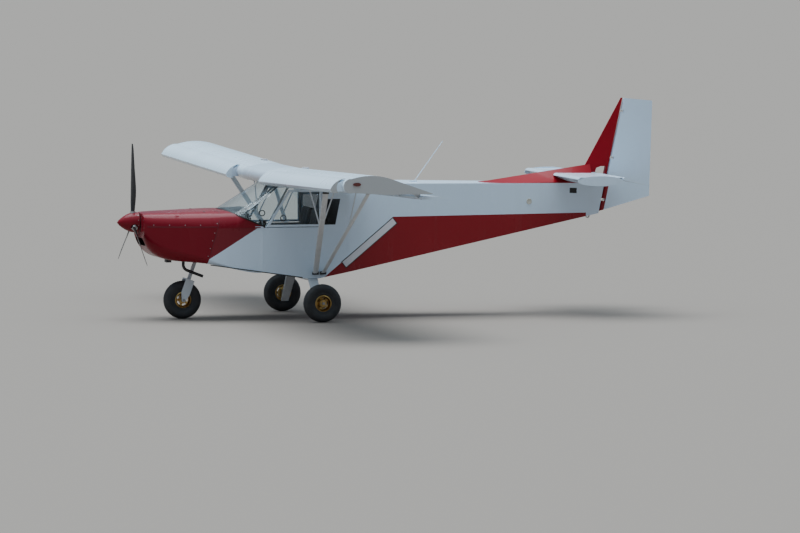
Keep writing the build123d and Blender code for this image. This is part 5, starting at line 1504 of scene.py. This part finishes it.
# Radius, heights of the rows, places across, the first needle's turn and the step to the next
GAUGE_BANKS = (
    (0.040, (1.175, 1.075), (-0.36, -0.26, -0.16), 30.0, 70.0),
    (0.028, (1.185, 1.105), (0.16, 0.24, 0.32), -50.0, 45.0),
)
GAUGE_SIDES = 32
BEZEL_DEPTH = 0.007
FACE_OUT = 0.0038
MARK_OUT = 0.0044
MARK_DEPTH = 0.0006
TICKS = 12
TICK_WIDTH = 0.0012
NEEDLE_WIDTH = 0.0016


def facing_aft(place, out=0.0):
    return Matrix.Translation(place + Vector((out, 0.0, 0.0))) @ Matrix.Rotation(math.pi / 2, 4, "Y")


def gauge_ring(bm, place, radius):
    bmesh.ops.create_cone(bm, cap_ends=True, segments=GAUGE_SIDES, radius1=radius * 1.12,
                          radius2=radius * 1.04, depth=BEZEL_DEPTH, matrix=facing_aft(place))


def gauge_face(bm, place, radius):
    bmesh.ops.create_circle(bm, cap_ends=True, segments=GAUGE_SIDES, radius=radius,
                            matrix=facing_aft(place, FACE_OUT))


def gauge_mark(bm, place, radius, turn, length, width):
    """A thin box that points away from the gauge's middle."""
    centre = place + Vector((MARK_OUT, 0.0, 0.0))
    size = Matrix.Diagonal((MARK_DEPTH, width, length, 1.0))
    shift = Matrix.Translation((0.0, 0.0, radius - length / 2))
    spin = Matrix.Rotation(turn, 4, "X")
    bmesh.ops.create_cube(bm, size=1.0, matrix=Matrix.Translation(centre) @ spin @ shift @ size)


def instruments():
    rings, faces, marks = bmesh.new(), bmesh.new(), bmesh.new()
    for radius, heights, ys, first, step in GAUGE_BANKS:
        for number, (z, y) in enumerate(itertools.product(heights, ys)):
            place = Vector((PANEL_FACE + BEZEL_DEPTH / 2, y, z))
            gauge_ring(rings, place, radius)
            gauge_face(faces, place, radius * 0.96)
            for index in range(TICKS):
                turn = math.tau * index / TICKS
                gauge_mark(marks, place, radius * 0.90, turn, radius * 0.18, TICK_WIDTH)
            needle = math.radians(first + step * number)
            gauge_mark(marks, place, radius * 0.68, needle, radius * 0.72, NEEDLE_WIDTH)
    finish_piece(rings, "gauge_bezels", "airframe", black_metal)
    finish_piece(faces, "gauge_faces", "airframe", seal_rubber)
    finish_piece(marks, "gauge_marks", "airframe", ink_white)


instruments()

# %% [markdown]
# ## Stick grips
# The control stick forks into two arms, one for each seat. A foam grip is pushed over each arm: thick
# at both ends and slimmer in the middle. Its outline is turned about the arm with `spin`.

# %% Stick grips
GRIP_SPOT = (-0.480, 0.110)
GRIP_LENGTH = 0.115
GRIP_RADIUS = 0.019
GRIP_STEPS = 28
STICK_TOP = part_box("control_stick")[1].z
# Shares of the radius and of the length, from foot to crown
GRIP_OUTLINE = ((0.0, 0.0), (0.85, 0.0), (1.0, 0.04), (1.0, 0.10), (0.84, 0.30), (0.84, 0.60),
                (1.0, 0.88), (0.92, 0.98), (0.6, 1.04), (0.0, 1.05))


def stick_grips():
    bm = bmesh.new()
    outline = [(radius * GRIP_RADIUS, rise * GRIP_LENGTH) for radius, rise in GRIP_OUTLINE]
    for side in SIDES:
        foot = spot(GRIP_SPOT[0], side * GRIP_SPOT[1], STICK_TOP - GRIP_LENGTH)
        spin_outline(bm, outline, foot, UP, GRIP_STEPS, closed=False)
    bmesh.ops.remove_doubles(bm, verts=bm.verts, dist=MERGE_GAP)
    bmesh.ops.recalc_face_normals(bm, faces=bm.faces)
    return finish_piece(bm, "stick_grips", "airframe", foam_grip)


stick_grips()

# %% [markdown]
# ## Seats
# Each seat has a cushion and a backrest of foam in a sewn cover. The CAD solids give their place and
# size. A voxel remesh turns each into an even mesh, and a short cloth simulation with pressure puffs
# it up between its edges.

# %% Seat pads
PAD_VOXEL = 0.007
PAD_SHRINK = 0.006
PAD_PRESSURE = 4.0
PAD_FRAMES = 20
PAD_CAP = 0.013
PAD_PROUD = 0.012
CUSHION_BELOW = 1.0


def seat_solids():
    """The four loose solids of the seats node, as separate bmeshes."""
    source = bmesh.new()
    source.from_mesh(nodes["seats"].data)
    bmesh.ops.remove_doubles(source, verts=source.verts, dist=MERGE_GAP)
    left = set(source.verts)
    solids = []
    while left:
        stack = [left.pop()]
        island = set(stack)
        while stack:
            for edge in stack.pop().link_edges:
                for vert in edge.verts:
                    if vert in left:
                        left.remove(vert)
                        island.add(vert)
                        stack.append(vert)
        piece = source.copy()
        keep = {vert.index for vert in island}
        source.verts.index_update()
        bmesh.ops.delete(piece, geom=[v for v in piece.verts if v.index not in keep], context="VERTS")
        solids.append(piece)
    source.free()
    return solids


def bare_object(name, bm):
    mesh = bpy.data.meshes.new(name)
    bm.to_mesh(mesh)
    bm.free()
    return add_to_scene(name, mesh)


def evaluated_mesh(holder):
    graph = bpy.context.evaluated_depsgraph_get()
    return bpy.data.meshes.new_from_object(holder.evaluated_get(graph))


def puff(holder):
    """Remesh, inflate and cap how far each point moved."""
    remesh = holder.modifiers.new("even", "REMESH")
    remesh.mode = "VOXEL"
    remesh.voxel_size = PAD_VOXEL
    bpy.context.view_layer.update()
    even = evaluated_mesh(holder)
    holder.modifiers.remove(remesh)
    holder.data = even
    rest = [vert.co.copy() for vert in even.vertices]
    cloth = holder.modifiers.new("cloth", "CLOTH")
    cloth.settings.use_pressure = True
    cloth.settings.uniform_pressure_force = PAD_PRESSURE
    cloth.settings.effector_weights.gravity = 0.0
    for step in range(1, PAD_FRAMES + 1):
        bpy.context.scene.frame_set(step)
    swollen = evaluated_mesh(holder)
    holder.modifiers.remove(cloth)
    bpy.context.scene.frame_set(1)
    for vert, start in zip(swollen.vertices, rest):
        move = vert.co - start
        if move.length > PAD_CAP:
            vert.co = start + move.normalized() * PAD_CAP
    return swollen


def seat_pad(bm):
    low = Vector([min(v.co[i] for v in bm.verts) for i in range(3)])
    high = Vector([max(v.co[i] for v in bm.verts) for i in range(3)])
    centre = (low + high) / 2
    kind = "back" if high.z > CUSHION_BELOW else "cushion"
    side = "left" if centre.y < 0 else "right"
    scale = [1.0 - 2 * PAD_SHRINK / (high[i] - low[i]) for i in range(3)]
    bmesh.ops.translate(bm, verts=bm.verts, vec=-centre)
    bmesh.ops.scale(bm, verts=bm.verts, vec=scale)
    bmesh.ops.translate(bm, verts=bm.verts, vec=centre)
    holder = bare_object("pad", bm)
    mesh = puff(holder)
    shape = bmesh.new()
    shape.from_mesh(mesh)
    bpy.data.objects.remove(holder)
    for _ in range(2):
        bmesh.ops.smooth_vert(shape, verts=shape.verts, factor=0.5, use_axis_x=True, use_axis_y=True,
                              use_axis_z=True)
    for vert in shape.verts:
        vert.co = [min(max(vert.co[i], low[i]), high[i] + PAD_PROUD) for i in range(3)]
    piece = finish_piece(shape, f"seat_{kind}_{side}", "airframe", seat_cloth)
    return piece


for solid in seat_solids():
    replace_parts(seat_pad(solid), "seats")

# %% [markdown]
# ## Seams and belts on the seats
# A sewn cover has welted seams, thin cords of cloth that follow its surface. Over it lies a harness:
# two shoulder straps and a lap strap of flat webbing that meet at a buckle. All of them are dropped
# onto the finished pads, so they follow their swell.

# %% Seams and belts
WEBBING = 0.044
BELT = {"lift": 0.002, "thickness": 0.0016, "steps": (30, 2)}
STRAP_OFFSET = 0.085
STRAP_TAPER = 0.45
LAP_FROM_FRONT = 0.16
WELT_RADIUS = 0.0032
WELT_SHARES = (0.33, 0.66)
WELT_INSET = 0.02
BUCKLE_SIZE = (0.060, 0.050, 0.014)
BUCKLE_LIFT = 0.010
BUCKLE_ROUND = 0.004


def pad_tree(piece):
    bm = bmesh.new()
    bm.from_mesh(piece.data)
    tree = BVHTree.FromBMesh(bm)
    bm.free()
    return tree


def pad_box(piece):
    points = [vert.co for vert in piece.data.vertices]
    return [Vector([pick(p[i] for p in points) for i in range(3)]) for pick in (min, max)]


def harness(hand, back, cushion):
    bm = bmesh.new()
    low, high = pad_box(back)
    middle = (low.y + high.y) / 2
    back_tree = pad_tree(back)
    for offset in (-STRAP_OFFSET, STRAP_OFFSET):
        start = Vector((low.x, middle + offset, high.z - 0.03))
        end = Vector((low.x, middle + offset * STRAP_TAPER, low.z + 0.05))
        laid_patch(bm, back_tree, start, end, Vector((0.0, WEBBING, 0.0)), (1, 0, 0), **BELT)
    low, high = pad_box(cushion)
    lap_x = high.x - LAP_FROM_FRONT
    start = Vector((lap_x, low.y + 0.01, high.z))
    end = Vector((lap_x, high.y - 0.01, high.z))
    laid_patch(bm, pad_tree(cushion), start, end, Vector((WEBBING, 0.0, 0.0)), DOWN, **BELT)
    return finish_piece(bm, "harness_" + hand, "airframe", belt_cloth)


def welts(hand, back, cushion):
    bm = bmesh.new()
    back_low, back_high = pad_box(back)
    low, high = pad_box(cushion)
    back_tree, seat_tree = pad_tree(back), pad_tree(cushion)
    for share in WELT_SHARES:
        z = back_low.z + (back_high.z - back_low.z) * share
        x = low.x + (high.x - low.x) * share
        runs = (
            (back_tree, (back_low.x, back_low.y + WELT_INSET, z),
             (back_low.x, back_high.y - WELT_INSET, z), (1, 0, 0)),
            (seat_tree, (x, low.y + WELT_INSET, high.z), (x, high.y - WELT_INSET, high.z), DOWN),
        )
        for tree, start, end, look in runs:
            path = dropped_path(tree, Vector(start), Vector(end), look)
            join_into(bm, sweep_tube(path, WELT_RADIUS, sides=2))
    return finish_piece(bm, "seat_welts_" + hand, "airframe", belt_cloth)


def buckle(hand, back, cushion):
    bm = bmesh.new()
    back_low, back_high = pad_box(back)
    high = pad_box(cushion)[1]
    above = Vector((high.x - LAP_FROM_FRONT, (back_low.y + back_high.y) / 2, high.z + 0.2))
    found = first_hit(pad_tree(cushion), above, Vector(DOWN))
    place = Matrix.Translation(found[0] + Vector((0.0, 0.0, BUCKLE_LIFT)))
    made = bmesh.ops.create_cube(bm, size=1.0, matrix=place @ Matrix.Diagonal((*BUCKLE_SIZE, 1.0)))
    edges = list({edge for vert in made["verts"] for edge in vert.link_edges})
    bmesh.ops.bevel(bm, geom=edges, offset=BUCKLE_ROUND, segments=2, affect="EDGES", profile=0.5,
                    material=-1)
    return finish_piece(bm, "buckle_" + hand, "airframe", steel_metal)


for hand in ("left", "right"):
    pads = (bpy.data.objects["seat_back_" + hand], bpy.data.objects["seat_cushion_" + hand])
    harness(hand, *pads)
    welts(hand, *pads)
    buckle(hand, *pads)

# %% [markdown]
# ## Sizes and finish
# The triangles of all the new pieces are added up and printed.

# %% Sizes and finish
print("added triangles", sum(made_pieces.values()))
